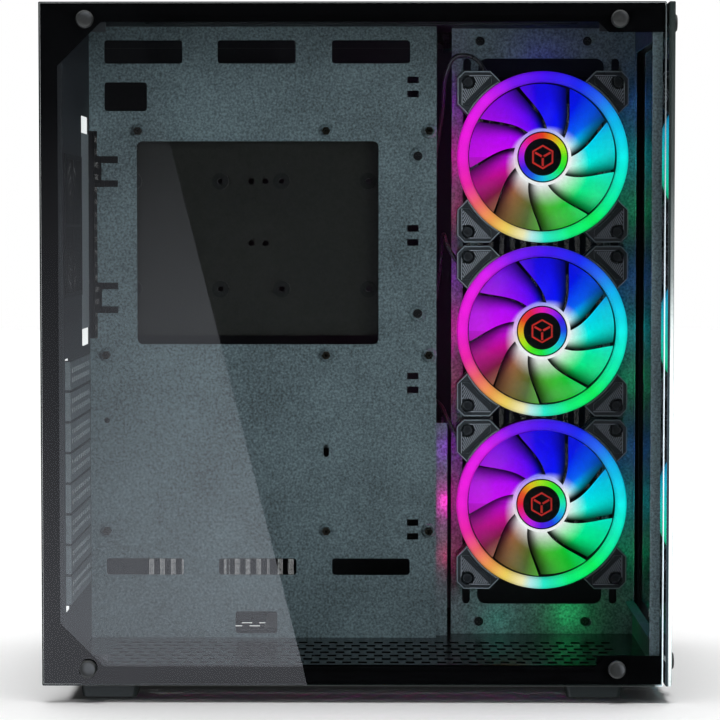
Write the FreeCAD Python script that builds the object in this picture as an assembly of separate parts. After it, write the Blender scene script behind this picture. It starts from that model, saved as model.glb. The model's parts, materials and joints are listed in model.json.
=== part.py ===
"""Dual-chamber desktop computer tower, empty: steel chassis, two tempered glass panels, three ring-lit fans.

+X points to the front, -Y to the side glass, +Z up. The origin is on the ground, in the middle of the
whole object's box. All sizes are in millimetres.
"""
import FreeCAD, Part
import math
import os

V = FreeCAD.Vector

# ---- driving dimensions -------------------------------------------------------------------------
GLASS_L = 401.0          # side glass, rear edge to front edge
GLASS_H = 440.0          # side glass and front glass, lower edge to upper edge
GLASS_T = 4.0            # thickness of both panes
CASE_W = 271.5           # outer face of the side glass to outer face of the right panel
GROUND_GAP = 11.0        # ground to the lower edge of the glass
SHEET = 1.0              # steel sheet of the chassis
TRAY_DEPTH = 170.0       # outer face of the side glass to the face of the motherboard tray
FAN_SIZE = 120.0         # square fan frames
FAN_T = 25.0             # depth of a fan frame
FAN_COUNT = 3
KNOB_D = 11.3            # glass knobs

# ---- fits and clearances ------------------------------------------------------------------------
GAP = 0.3                # between curved or sliding faces of parts that move apart
FIT = 0.05               # around screws and studs in their own holes
RUN = 0.05               # fan shaft in its bearing

# ---- glass and its fixings ----------------------------------------------------------------------
INK_T = 0.2              # printed black border on the inner face
INK_TOP = 12.7           # width of the border along the top
INK_FOOT = 12.1          # along the bottom
INK_REAR = 11.5          # along the rear edge
INK_CORNER = 28.0        # leg of the slanted corners
INK_BLOCK = 19.4         # height of the border blocks that hide the front corners
INK_BLOCK_L = 36.5       # length of those blocks
INK_SLOPE = 7.0          # slant that joins a block to the strip
INK_FRONT_PANE = 15.5    # border along the top and bottom of the front pane
KNOB_INSET = 29.9        # knob centres to the side glass's front and rear edges
KNOB_LIFT = 11.4         # knob centres to the upper and lower edges
KNOB_HEAD = 3.5          # height of a knob's head
KNOB_BEVEL = 0.7
KNOB_SHANK_R = 1.7
GLASS_HOLE_R = 3.0
RUBBER_T = 1.0           # outer rubber washer, under the knob
SEAT_T = 1.5             # inner rubber washer, between glass and post
RUBBER_R = 4.4
SIDE_STAND = 12.0        # outer face of the side glass to the chassis
FRONT_GAP = 1.7          # side glass's front edge to the front pane
FRONT_STAND = 2.9        # front pane's inner face to the chassis
POST_R = 4.0
POST_BORE_R = KNOB_SHANK_R + GAP

# ---- chassis ------------------------------------------------------------------------------------
REAR_SET = 12.5          # side glass's rear edge to the rear panel
FLOOR_SET = 5.0          # glass's lower edge to the top of the floor
ROOF_SET = 2.4           # glass's upper edge to the top of the roof
RIM = 12.0               # flanges of the floor and roof
TAB_W = 24.0             # taller tabs of the rims, that carry the glass posts
TAB_REACH = 7.0          # above the knob's axis
POST_LEG = 6.5           # depth of the front posts
POST_FACE = 10.0         # width of the front-left post
FRONT_SILL = 24.0        # front opening above the floor
FRONT_LINTEL = 17.6      # front opening below the roof
BRACKET_STEP = FAN_T - 5.0      # the fan bracket lies this far behind the tray's face
FAN_EDGE = 7.5           # fan's edge to the chassis front
FAN_SPACE = 2.3          # between two fans
FAN_RISE = 2.9           # middle fan above the glass's middle
BRACKET_LIP = 3.3        # bracket beyond the fans, towards the tray
LEAD_GAP = 11.1          # open gap between the tray and the bracket, for the fan leads
CORNER_R = 4.0           # rounding of the tray's cut-outs

# ---- overall places -----------------------------------------------------------------------------
KNOB_STAND = RUBBER_T + KNOB_HEAD
LENGTH = GLASS_L + FRONT_GAP + GLASS_T + KNOB_STAND
WIDTH = CASE_W + KNOB_STAND
HEIGHT = GROUND_GAP + GLASS_H
GLASS_X0 = -LENGTH / 2
GLASS_X1 = GLASS_X0 + GLASS_L
GLASS_Y = -WIDTH / 2 + KNOB_STAND
GLASS_Z0 = GROUND_GAP
GLASS_Z1 = HEIGHT
MID_Z = (GLASS_Z0 + GLASS_Z1) / 2
PANE_X = GLASS_X1 + FRONT_GAP                # inner face of the front pane
FRONT_X = PANE_X - FRONT_STAND               # front face of the chassis
REAR_X = GLASS_X0 + REAR_SET                 # outer face of the rear panel
WALL_X = REAR_X + SHEET                      # its inner face
SIDE_Y = GLASS_Y + SIDE_STAND                # chassis face towards the side glass
PANEL_GAP = 0.3
OUTER_Y = WIDTH / 2                          # outer face of the right panel
BACK_Y = OUTER_Y - SHEET - PANEL_GAP         # chassis face towards the right panel
FLOOR_Z = GLASS_Z0 + FLOOR_SET               # top of the floor
ROOF_Z = GLASS_Z1 - ROOF_SET - SHEET         # underside of the roof
TRAY_Y = GLASS_Y + TRAY_DEPTH                # face of the tray
TRAY_BACK = TRAY_Y + SHEET
PLATE_Y = TRAY_Y + BRACKET_STEP              # face of the fan bracket
PLATE_BACK = PLATE_Y + SHEET
FAN_Y = PLATE_Y - FAN_T                      # front of the fans
FAN_X = FRONT_X - FAN_EDGE - FAN_SIZE / 2
FAN_PITCH = FAN_SIZE + FAN_SPACE
FAN_Z = [MID_Z + FAN_RISE + FAN_PITCH * (1 - k) for k in range(FAN_COUNT)]
PLATE_X0 = FAN_X - FAN_SIZE / 2 - BRACKET_LIP
PLATE_X1 = FRONT_X - SHEET
TRAY_X1 = PLATE_X0 - LEAD_GAP

# ---- motherboard standoffs (ATX) ------------------------------------------------------------------
BOARD_X = WALL_X + 11.8                      # rear column of holes
BOARD_Z = MID_Z + 143.4                      # top row of holes
COLS = (0.0, 22.86, 154.94, 227.33)
ROWS = (0.0, -157.48, -281.94)
STANDOFF_H = 6.5
STANDOFF_R = 3.0
M3_BORE_R = 1.25
M3_R = 1.5


def box(x0, x1, y0, y1, z0, z1):
    """Block between two corners."""
    return Part.makeBox(x1 - x0, y1 - y0, z1 - z0, V(x0, y0, z0))


def rod(r, start, length, axis):
    """Round bar from a point, along an axis."""
    return Part.makeCylinder(r, length, V(*start), V(*axis))


def rod_y(r, x, y0, y1, z):
    return rod(r, (x, y0, z), y1 - y0, (0, 1, 0))


def rod_x(r, x0, x1, y, z):
    return rod(r, (x0, y, z), x1 - x0, (1, 0, 0))


def rod_z(r, x, y, z0, z1):
    return rod(r, (x, y, z0), z1 - z0, (0, 0, 1))


def tube(outer, inner):
    """One solid with another taken out."""
    return outer.cut(inner)


def prism(points, axis, start, depth):
    """Straight-sided block: an outline across one axis, drawn out along it."""
    lift = {"x": lambda a, b: V(start, a, b), "y": lambda a, b: V(a, start, b), "z": lambda a, b: V(a, b, start)}
    way = {"x": V(depth, 0, 0), "y": V(0, depth, 0), "z": V(0, 0, depth)}
    corners = [lift[axis](a, b) for a, b in points]
    return Part.Face(Part.makePolygon(corners + [corners[0]])).extrude(way[axis])


def window(x0, x1, y0, y1, z0, z1, r=0.0, axis="y"):
    """Cutter for an opening, rounded at its four corners."""
    body = box(x0, x1, y0, y1, z0, z1)
    if r <= 0:
        return body
    picks = [e for e in body.Edges if along(e, axis)]
    return body.makeFillet(r, picks)


def along(edge, axis):
    way = edge.Vertexes[1].Point - edge.Vertexes[0].Point
    want = {"x": V(1, 0, 0), "y": V(0, 1, 0), "z": V(0, 0, 1)}[axis]
    return way.cross(want).Length < 1e-6


def slot_y(x, z, length, width, y0, y1, upright=False):
    """Cutter for a slot with round ends, through a plate that faces Y."""
    r = width / 2
    run = (length - width) / 2
    if upright:
        body = box(x - r, x + r, y0, y1, z - run, z + run)
        ends = [(x, z - run), (x, z + run)]
    else:
        body = box(x - run, x + run, y0, y1, z - r, z + r)
        ends = [(x - run, z), (x + run, z)]
    return body.fuse([rod_y(r, ex, y0, y1, ez) for ex, ez in ends])


def cut_all(body, cutters):
    """Take a list of cutters out of a body in one go."""
    return body.cut(cutters) if cutters else body


def save(name, *solids):
    """Write one sub-part: one solid, or a group of equal pieces."""
    found = []
    for item in solids:
        found += item.Solids
    shape = found[0] if len(found) == 1 else Part.makeCompound(found)
    shape.exportStep("parts/" + name + ".step")


# ---- glass panels and their fixings ----------------------------------------------------------------
KNOB_XS = (GLASS_X0 + KNOB_INSET, GLASS_X1 - KNOB_INSET)
KNOB_ZS = (GLASS_Z0 + KNOB_LIFT, GLASS_Z1 - KNOB_LIFT)
PANE_Y0 = GLASS_Y                                # front pane, across the whole width
PANE_Y1 = OUTER_Y
PANE_KNOB_YS = (SIDE_Y + 22.0, BACK_Y - 22.0)


def side_spots():
    return [(x, z) for x in KNOB_XS for z in KNOB_ZS]


def front_spots():
    return [(y, z) for y in PANE_KNOB_YS for z in KNOB_ZS]


def side_glass():
    pane = box(GLASS_X0, GLASS_X1, GLASS_Y, GLASS_Y + GLASS_T, GLASS_Z0, GLASS_Z1)
    pane = pane.makeChamfer(0.5, pane.Edges)
    holes = [rod_y(GLASS_HOLE_R, x, GLASS_Y - 1, GLASS_Y + GLASS_T + 1, z) for x, z in side_spots()]
    return cut_all(pane, holes)


def side_glass_border():
    """Printed frame: strips at top, bottom and rear, slanted rear corners, blocks at the front corners."""
    edge = 0.6
    x0 = GLASS_X0 + edge
    x1 = GLASS_X1 - edge
    z0 = GLASS_Z0 + edge
    z1 = GLASS_Z1 - edge
    inner_x = GLASS_X0 + INK_REAR
    low = GLASS_Z0 + INK_FOOT
    high = GLASS_Z1 - INK_TOP
    block_x = GLASS_X1 - INK_BLOCK_L
    outline = [(x0, z0), (x1, z0), (x1, GLASS_Z0 + INK_BLOCK), (block_x, GLASS_Z0 + INK_BLOCK),
               (block_x - INK_SLOPE, low), (inner_x + INK_CORNER, low), (inner_x, low + INK_CORNER),
               (inner_x, high - INK_CORNER), (inner_x + INK_CORNER, high), (block_x - INK_SLOPE, high),
               (block_x, GLASS_Z1 - INK_BLOCK), (x1, GLASS_Z1 - INK_BLOCK), (x1, z1), (x0, z1)]
    y0 = GLASS_Y + GLASS_T
    skin = prism(outline, "y", y0, INK_T)
    holes = [rod_y(GLASS_HOLE_R, x, y0 - 1, y0 + INK_T + 1, z) for x, z in side_spots()]
    return cut_all(skin, holes)


def knob(depth):
    """Knob along +Y from the origin: bevelled head, shank reaching to the given depth below the head."""
    head = rod_y(KNOB_D / 2, 0, -KNOB_HEAD, 0, 0)
    rims = [e for e in head.Edges if e.Curve.TypeId == "Part::GeomCircle" and e.BoundBox.YMax < -KNOB_HEAD / 2]
    head = head.makeChamfer(KNOB_BEVEL, rims)
    groove = tube(rod_y(KNOB_D / 2 + 1, 0, -1.1, -0.6, 0), rod_y(KNOB_D / 2 - 0.4, 0, -1.1, -0.6, 0))
    return head.cut(groove).fuse(rod_y(KNOB_SHANK_R, 0, 0, depth, 0))


def washer(y0, y1, bore):
    return tube(rod_y(RUBBER_R, 0, y0, y1, 0), rod_y(bore, 0, y0 - 1, y1 + 1, 0))


def post(y0, y1, stem):
    """Threaded post with a stem that passes through the sheet behind it."""
    body = rod_y(POST_R, 0, y0, y1, 0).fuse(rod_y(POST_R - 1.0, 0, y1, y1 + stem, 0))
    return body.cut(rod_y(POST_BORE_R, 0, y0 - 1, y1 + stem + 1, 0))


def place_side(solid, x, z):
    copy = solid.copy()
    copy.translate(V(x, GLASS_Y, z))
    return copy


def place_front(solid, y, z):
    """Same fixing on the front pane: its -Y turned to +X."""
    copy = solid.copy()
    copy.rotate(V(0, 0, 0), V(0, 0, 1), 90)
    copy.translate(V(PANE_X + GLASS_T, y, z))
    return copy


def glass_fixings():
    """Knobs, washers and posts of both panes, drawn once with the pane's outer face at y = 0."""
    seat_end = GLASS_T + INK_T + SEAT_T
    knob_side = knob(SIDE_STAND + SHEET)
    knob_side.translate(V(0, -RUBBER_T, 0))
    knob_front = knob(GLASS_T + FRONT_STAND + SHEET)
    knob_front.translate(V(0, -RUBBER_T, 0))
    outer = washer(-RUBBER_T, 0, KNOB_SHANK_R + FIT)
    inner = washer(GLASS_T + INK_T, seat_end, KNOB_SHANK_R + FIT)
    post_side = post(seat_end, SIDE_STAND, SHEET)
    post_front = post(seat_end, GLASS_T + FRONT_STAND, SHEET)
    side = side_spots()
    front = front_spots()
    save("side_glass_knobs", *[place_side(knob_side, x, z) for x, z in side])
    save("side_glass_washers", *[place_side(w, x, z) for x, z in side for w in (outer, inner)])
    save("front_glass_knobs", *[place_front(knob_front, y, z) for y, z in front])
    save("front_glass_washers", *[place_front(w, y, z) for y, z in front for w in (outer, inner)])
    save("glass_posts", *([place_side(post_side, x, z) for x, z in side]
                          + [place_front(post_front, y, z) for y, z in front]))


def front_glass():
    pane = box(PANE_X, PANE_X + GLASS_T, PANE_Y0, PANE_Y1, GLASS_Z0, GLASS_Z1)
    pane = pane.makeChamfer(0.5, pane.Edges)
    holes = [rod_x(GLASS_HOLE_R, PANE_X - 1, PANE_X + GLASS_T + 1, y, z) for y, z in front_spots()]
    return cut_all(pane, holes)


def front_glass_border():
    """Printed strips along the top and bottom of the front pane, and a wide one over the rear chamber."""
    edge = 0.6
    y0 = PANE_Y0 + edge
    y1 = PANE_Y1 - edge
    z0 = GLASS_Z0 + edge
    z1 = GLASS_Z1 - edge
    low = GLASS_Z0 + INK_FRONT_PANE
    high = GLASS_Z1 - INK_FRONT_PANE
    outline = [(y0, z0), (y1, z0), (y1, z1), (y0, z1), (y0, high), (PLATE_Y, high), (PLATE_Y, low), (y0, low)]
    skin = prism(outline, "x", PANE_X - INK_T, INK_T)
    holes = [rod_x(GLASS_HOLE_R, PANE_X - INK_T - 1, PANE_X + 1, y, z) for y, z in front_spots()]
    return cut_all(skin, holes)


# ---- floor and roof ---------------------------------------------------------------------------------
FLOOR_SLOT = (6.0, 8.0)          # across X and Y
FLOOR_PITCH = (10.6, 14.0)
FLOOR_MARGIN = 14.0
STEM_HOLE_R = POST_R - 1.0 + FIT


def slot_field(x0, x1, y0, y1, z0, z1, size, pitch):
    """Staggered rows of short slots in a horizontal plate, centred in the given field."""
    rows = int((y1 - y0) // pitch[1])
    cols = int((x1 - x0) // pitch[0])
    left = (x0 + x1) / 2 - (cols - 1) * pitch[0] / 2
    low = (y0 + y1) / 2 - (rows - 1) * pitch[1] / 2
    cutters = []
    for row in range(rows):
        shift = pitch[0] / 2 if row % 2 else 0.0
        for col in range(cols - row % 2):
            x = left + col * pitch[0] + shift
            y = low + row * pitch[1]
            cutters.append(box(x - size[0] / 2, x + size[0] / 2, y - size[1] / 2, y + size[1] / 2, z0, z1))
    return cutters


def rims(z_plate, z_end):
    """The two long flanges of the floor or roof, from the plate to their free edge."""
    low = min(z_plate, z_end)
    high = max(z_plate, z_end)
    left = box(REAR_X, FRONT_X, SIDE_Y, SIDE_Y + SHEET, low, high)
    right = box(REAR_X, FRONT_X, BACK_Y - SHEET, BACK_Y, low, high)
    return [left, right]


def post_tabs(z_plate, z_axis, way):
    """Taller tabs of the left flange, one behind each knob."""
    tip = z_axis + way * TAB_REACH
    low = min(z_plate, tip)
    high = max(z_plate, tip)
    return [box(x - TAB_W / 2, x + TAB_W / 2, SIDE_Y, SIDE_Y + SHEET, low, high) for x in KNOB_XS]


def stem_holes(z_axis):
    return [rod_y(STEM_HOLE_R, x, SIDE_Y - 1, SIDE_Y + SHEET + 1, z_axis) for x in KNOB_XS]


INTAKE_L = 120.0                 # field of slots under the power supply
INTAKE_SLOT = (8.0, 10.0)
INTAKE_PITCH = (13.0, 15.0)


def bottom_panel():
    plate = box(REAR_X, FRONT_X, SIDE_Y, BACK_Y, FLOOR_Z - SHEET, FLOOR_Z)
    pan = plate.fuse(rims(FLOOR_Z - SHEET, GLASS_Z0 + RIM) + post_tabs(FLOOR_Z - SHEET, KNOB_ZS[0], 1)
                     + filter_rails())
    low = FLOOR_Z - SHEET - 1
    high = FLOOR_Z + 1
    cutters = slot_field(WALL_X + FLOOR_MARGIN, FRONT_X - FLOOR_MARGIN, SIDE_Y + FLOOR_MARGIN,
                         TRAY_Y - FLOOR_MARGIN, low, high, FLOOR_SLOT, FLOOR_PITCH)
    cutters += slot_field(WALL_X + FLOOR_MARGIN, WALL_X + FLOOR_MARGIN + INTAKE_L, TRAY_BACK + FLOOR_MARGIN,
                          BACK_Y - FLOOR_MARGIN, low, high, INTAKE_SLOT, INTAKE_PITCH)
    return cut_all(pan, cutters + stem_holes(KNOB_ZS[0])).removeSplitter()


# Control panel let into the roof, over the rear chamber.
IO_L = 118.0
IO_W = 30.0
IO_R = 6.0
IO_X = FRONT_X - 22.0 - IO_L / 2
IO_Y = BACK_Y - 14.0 - IO_W / 2
IO_T = 1.4                       # bezel's height over the roof
IO_DEEP = 7.0                    # bezel's body under the roof
# Opening for roof fans or a radiator, and the filter that covers it.
VENT_L = 300.0
VENT_W = 116.0
VENT_X = WALL_X + 42.0 + VENT_L / 2
VENT_Y = (SIDE_Y + TRAY_Y) / 2
VENT_R = 6.0
RAIL_SLOT_L = 50.0
RAIL_SLOT_W = 4.6
RAIL_PITCH = 60.0
RAIL_ROWS = 2 * 67.5             # between the two rows of slots
FILTER_MARGIN = 16.0
FILTER_RIM = 10.0
FILTER_T = 1.6
FILTER_SKIN = 0.5


def rail_slots(z0, z1):
    """Two rows of slots beside the roof opening, for fan and radiator screws."""
    count = int((VENT_L - RAIL_SLOT_L) // RAIL_PITCH) + 1
    first = VENT_X - (count - 1) * RAIL_PITCH / 2
    cutters = []
    for side in (-1, 1):
        y = VENT_Y + side * RAIL_ROWS / 2
        for k in range(count):
            x = first + k * RAIL_PITCH
            run = (RAIL_SLOT_L - RAIL_SLOT_W) / 2
            cutters.append(box(x - run, x + run, y - RAIL_SLOT_W / 2, y + RAIL_SLOT_W / 2, z0, z1))
            cutters += [rod_z(RAIL_SLOT_W / 2, x - run, y, z0, z1), rod_z(RAIL_SLOT_W / 2, x + run, y, z0, z1)]
    return cutters


def top_panel():
    plate = box(REAR_X, FRONT_X, SIDE_Y, BACK_Y, ROOF_Z, ROOF_Z + SHEET)
    pan = plate.fuse(rims(ROOF_Z + SHEET, GLASS_Z1 - RIM) + post_tabs(ROOF_Z + SHEET, KNOB_ZS[1], -1))
    low = ROOF_Z - 1
    high = ROOF_Z + SHEET + 1
    vent = window(VENT_X - VENT_L / 2, VENT_X + VENT_L / 2, VENT_Y - VENT_W / 2, VENT_Y + VENT_W / 2,
                  low, high, VENT_R, "z")
    seat = window(IO_X - IO_L / 2 - FIT, IO_X + IO_L / 2 + FIT, IO_Y - IO_W / 2 - FIT, IO_Y + IO_W / 2 + FIT,
                  low, high, IO_R + FIT, "z")
    return cut_all(pan, [vent, seat] + rail_slots(low, high) + stem_holes(KNOB_ZS[1])).removeSplitter()


def top_dust_filter():
    """Magnetic filter on the roof: a thicker rim around a thin screen."""
    x0 = VENT_X - VENT_L / 2 - FILTER_MARGIN
    x1 = VENT_X + VENT_L / 2 + FILTER_MARGIN
    y0 = VENT_Y - VENT_W / 2 - FILTER_MARGIN
    y1 = VENT_Y + VENT_W / 2 + FILTER_MARGIN
    z0 = ROOF_Z + SHEET
    rim = window(x0, x1, y0, y1, z0, z0 + FILTER_T, IO_R, "z")
    hollow = box(x0 + FILTER_RIM, x1 - FILTER_RIM, y0 + FILTER_RIM, y1 - FILTER_RIM, z0 + FILTER_SKIN,
                 z0 + FILTER_T + 1)
    return rim.cut(hollow)


# Bottom filter: slides rearwards in two rails between the feet.
FOOT_TOP_L = 40.4
FOOT_BASE_L = 35.0
FOOT_W = 26.0
FOOT_IN_Y = 6.0                  # feet in from the chassis sides
FOOT_PAD_T = 2.0
FOOT_PAD_IN = 3.0
FOOT_REAR = 21.5                 # side glass's rear edge to the rear feet
FOOT_FRONT = 23.0                # side glass's front edge to the front feet
FOOT_H = FLOOR_Z - SHEET
FOOT_XS = (GLASS_X0 + FOOT_REAR + FOOT_TOP_L / 2, GLASS_X1 - FOOT_FRONT - FOOT_TOP_L / 2)
FOOT_YS = (SIDE_Y + FOOT_IN_Y + FOOT_W / 2, BACK_Y - FOOT_IN_Y - FOOT_W / 2 - 6.0)
SLIDE_T = 2.0                    # thickness of the sliding filter
SLIDE_GRIP = 8.0
RAIL_T = 1.2
RAIL_LEG = 5.0


def foot(x, y):
    """Tapered block, longer at the top, hollowed below for its rubber pad."""
    top = FOOT_TOP_L / 2
    base = FOOT_BASE_L / 2
    lift = 0.8
    body = prism([(x - base, lift), (x + base, lift), (x + top, FOOT_H), (x - top, FOOT_H)], "y",
                 y - FOOT_W / 2, FOOT_W)
    uprights = [e for e in body.Edges if not along(e, "x") and not along(e, "y")]
    body = body.makeFillet(3.0, uprights)
    return body.cut(foot_pad_block(x, y, FIT))


def foot_pad_block(x, y, extra):
    half = FOOT_BASE_L / 2 - FOOT_PAD_IN + extra
    wide = FOOT_W / 2 - FOOT_PAD_IN + extra
    return window(x - half, x + half, y - wide, y + wide, -1.0 if extra else 0.0, FOOT_PAD_T, 3.0, "z")


def feet():
    spots = [(x, y) for x in FOOT_XS for y in FOOT_YS]
    save("feet", *[foot(x, y) for x, y in spots])
    save("foot_pads", *[foot_pad_block(x, y, 0.0) for x, y in spots])


FILTER_Y0 = FOOT_YS[0] + FOOT_W / 2 + RAIL_T + 3.0
FILTER_Y1 = FOOT_YS[1] - FOOT_W / 2 - RAIL_T - 3.0
FILTER_X0 = REAR_X + 2.0
FILTER_X1 = FRONT_X - 12.0
FILTER_Z1 = FOOT_H - GAP


def bottom_dust_filter():
    """Sliding tray under the floor, thin in its field, with a grip at the rear."""
    z0 = FILTER_Z1 - SLIDE_T
    rim = box(FILTER_X0, FILTER_X1, FILTER_Y0, FILTER_Y1, z0, FILTER_Z1)
    hollow = box(FILTER_X0 + FILTER_RIM, FILTER_X1 - FILTER_RIM, FILTER_Y0 + FILTER_RIM,
                 FILTER_Y1 - FILTER_RIM, z0 - 1, FILTER_Z1 - FILTER_SKIN)
    middle = (FILTER_Y0 + FILTER_Y1) / 2
    grip = box(FILTER_X0, FILTER_X0 + 3.0, middle - 30.0, middle + 30.0, z0 - SLIDE_GRIP / 2, z0)
    return rim.cut(hollow).fuse(grip).removeSplitter()


def filter_rails():
    """Two angle rails under the floor, each with a ledge below the filter's edge."""
    z0 = FILTER_Z1 - SLIDE_T - GAP - RAIL_T
    x0 = FOOT_XS[0] + FOOT_TOP_L / 2 + 6.0
    x1 = FOOT_XS[1] - FOOT_TOP_L / 2 - 6.0
    rails = []
    for edge, way in ((FILTER_Y0, 1), (FILTER_Y1, -1)):
        wall = sorted((edge - way * GAP, edge - way * (GAP + RAIL_T)))
        ledge = sorted((edge - way * (GAP + RAIL_T), edge + way * RAIL_LEG))
        rails.append(box(x0, x1, wall[0], wall[1], z0, FOOT_H).fuse(
            box(x0, x1, ledge[0], ledge[1], z0, z0 + RAIL_T)).removeSplitter())
    return rails


# ---- rear panel --------------------------------------------------------------------------------------
IO_SHIELD_W = 44.45              # opening for a motherboard's rear connectors
IO_SHIELD_H = 158.75
IO_SHIELD_Y1 = TRAY_Y - 5.5
IO_SHIELD_Z0 = MID_Z - 6.0
KNOCKOUT_END = 12.0              # open gap above and below the knock-out plate
KNOCKOUT_SLIT = 1.0
KNOCKOUT_WEB = 3.0               # bridges that hold the plate until it is snapped out
REAR_FAN_Y = GLASS_Y + 68.0      # rear fan position
REAR_FAN_Z = MID_Z + 77.0
REAR_FAN_R = 43.0                # a 92 mm fan fits beside the connector opening
REAR_FAN_HOLES = 82.5
FAN_HOLE_R = 2.2
SLOT_COUNT = 8
SLOT_PITCH = 20.32
SLOT_TOP_Z = MID_Z - 22.0        # centre line of the uppermost slot
SLOT_H = 14.0
SHELF_Y = GLASS_Y + 44.0         # shelf that the covers' tabs are screwed to
SHELF_OUT = 10.0
SLOT_Y0 = SHELF_Y + 7.0
SLOT_Y1 = TRAY_Y - 13.0
ACCESS_Y0 = SIDE_Y + 8.0
COVER_T = 0.8
COVER_H = 18.4
PSU_W = 86.0                     # power supply, across Y and up Z
PSU_H = 150.0
PSU_Z = FLOOR_Z + 6.0
PSU_Y = TRAY_BACK + 0.8
PSU_FRAME = 10.0


def slot_z(k):
    return SLOT_TOP_Z - k * SLOT_PITCH


def ring_grille(y, z, r_out, x0, x1):
    """Round grille: ring-shaped cuts left standing between four crossed spokes."""
    pitch = 8.0
    web = 2.4
    cutters = []
    spokes = [box(x0 - 1, x1 + 1, y - r_out, y + r_out, z - 1.5, z + 1.5),
              box(x0 - 1, x1 + 1, y - 1.5, y + 1.5, z - r_out, z + r_out)]
    for angle in (45, -45):
        bar = spokes[0].copy()
        bar.rotate(V(0, y, z), V(1, 0, 0), angle)
        spokes.append(bar)
    r = r_out
    while r > 2 * pitch:
        ring = tube(rod_x(r, x0, x1, y, z), rod_x(r - pitch + web, x0 - 1, x1 + 1, y, z))
        cutters += ring.cut(spokes).Solids
        r -= pitch
    return cutters


def knockout_gaps(x0, x1):
    """Cuts that leave a plate in the connector opening, on four narrow bridges."""
    y0 = IO_SHIELD_Y1 - IO_SHIELD_W
    z1 = IO_SHIELD_Z0 + IO_SHIELD_H
    opening = window(x0, x1, y0, IO_SHIELD_Y1, IO_SHIELD_Z0, z1, 1.5, "x")
    low = IO_SHIELD_Z0 + KNOCKOUT_END
    high = z1 - KNOCKOUT_END
    plate = box(x0 - 1, x1 + 1, y0 + KNOCKOUT_SLIT, IO_SHIELD_Y1 - KNOCKOUT_SLIT, low, high)
    webs = [box(x0 - 1, x1 + 1, y0 - 1, IO_SHIELD_Y1 + 1, z - KNOCKOUT_WEB / 2, z + KNOCKOUT_WEB / 2)
            for z in (low + IO_SHIELD_H / 5, high - IO_SHIELD_H / 5)]
    return opening.cut([plate] + webs).Solids


def rear_panel():
    """Rear wall with its turned edge, grille, connector knock-out, expansion slots and supply opening."""
    x0 = REAR_X - 1
    x1 = WALL_X + 1
    plate = box(REAR_X, WALL_X, SIDE_Y, BACK_Y - SHEET - FIT, FLOOR_Z, ROOF_Z)
    plate = plate.cut([box(x0, x1, SIDE_Y - 1, SIDE_Y + SHEET + FIT, FLOOR_Z - 1, GLASS_Z0 + RIM + FIT),
                       box(x0, x1, SIDE_Y - 1, SIDE_Y + SHEET + FIT, GLASS_Z1 - RIM - FIT, ROOF_Z + 1)])
    turned = box(REAR_X - 9.0, REAR_X, SIDE_Y, SIDE_Y + SHEET, GLASS_Z0 + RIM + FIT, GLASS_Z1 - RIM - FIT)
    shelf = box(REAR_X - SHELF_OUT, WALL_X, SHELF_Y, SHELF_Y + SHEET,
                slot_z(SLOT_COUNT - 1) - SLOT_PITCH / 2, slot_z(0) + SLOT_PITCH / 2)
    cutters = [window(x0, x1, ACCESS_Y0, SHELF_Y, slot_z(SLOT_COUNT - 1) - SLOT_PITCH / 2 - 2,
                      slot_z(0) + SLOT_PITCH / 2 + 2, 2.0, "x"),
               window(x0, x1, PSU_Y + PSU_FRAME, PSU_Y + PSU_W - PSU_FRAME, PSU_Z + PSU_FRAME,
                      PSU_Z + PSU_H - PSU_FRAME, 3.0, "x")]
    for k in range(SLOT_COUNT):
        cutters.append(box(x0, x1, SLOT_Y0, SLOT_Y1, slot_z(k) - SLOT_H / 2, slot_z(k) + SLOT_H / 2))
    cutters += knockout_gaps(x0, x1)
    cutters += ring_grille(REAR_FAN_Y, REAR_FAN_Z, REAR_FAN_R, x0, x1)
    for dy, dz in square(REAR_FAN_HOLES):
        cutters.append(rod_x(FAN_HOLE_R, x0, x1, REAR_FAN_Y + dy, REAR_FAN_Z + dz))
    for y, z in psu_holes():
        cutters.append(rod_x(M3_R + 0.5, x0, x1, y, z))
    cutters += [rod_x(M3_R + FIT, x0, x1, THUMB_Y, z) for z in THUMB_ZS]
    cutters += rear_vents(x0, x1)
    wall = plate.fuse([turned, shelf])
    holes = [rod_y(M3_R + FIT, REAR_X - SHELF_OUT / 2, SHELF_Y - 1, SHELF_Y + SHEET + 1, slot_z(k))
             for k in range(SLOT_COUNT)]
    return cut_all(wall, cutters + holes).removeSplitter()


def square(side):
    half = side / 2
    return [(a * half, b * half) for a in (-1, 1) for b in (-1, 1)]


PSU_HOLES = ((80.0, 6.0), (80.0, 144.0), (16.0, 6.0), (6.0, 120.0))   # ATX supply: across its 86 and 150 sides


def psu_holes():
    return [(PSU_Y + across, PSU_Z + up) for across, up in PSU_HOLES]


THUMB_Y = BACK_Y - 6.2
THUMB_ZS = (MID_Z - 150.0, MID_Z + 150.0)
VENT_SLOT = (40.0, 4.0)


def rear_vents(x0, x1):
    """Rows of slots in the rear wall, beside the upper part of the rear chamber."""
    cutters = []
    middle = (TRAY_BACK + BACK_Y) / 2 - 4.0
    z = PSU_Z + PSU_H + 34.0
    while z < ROOF_Z - 24.0:
        cutters.append(box(x0, x1, middle - VENT_SLOT[0] / 2, middle + VENT_SLOT[0] / 2, z, z + VENT_SLOT[1]))
        z += 9.0
    return cutters


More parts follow.
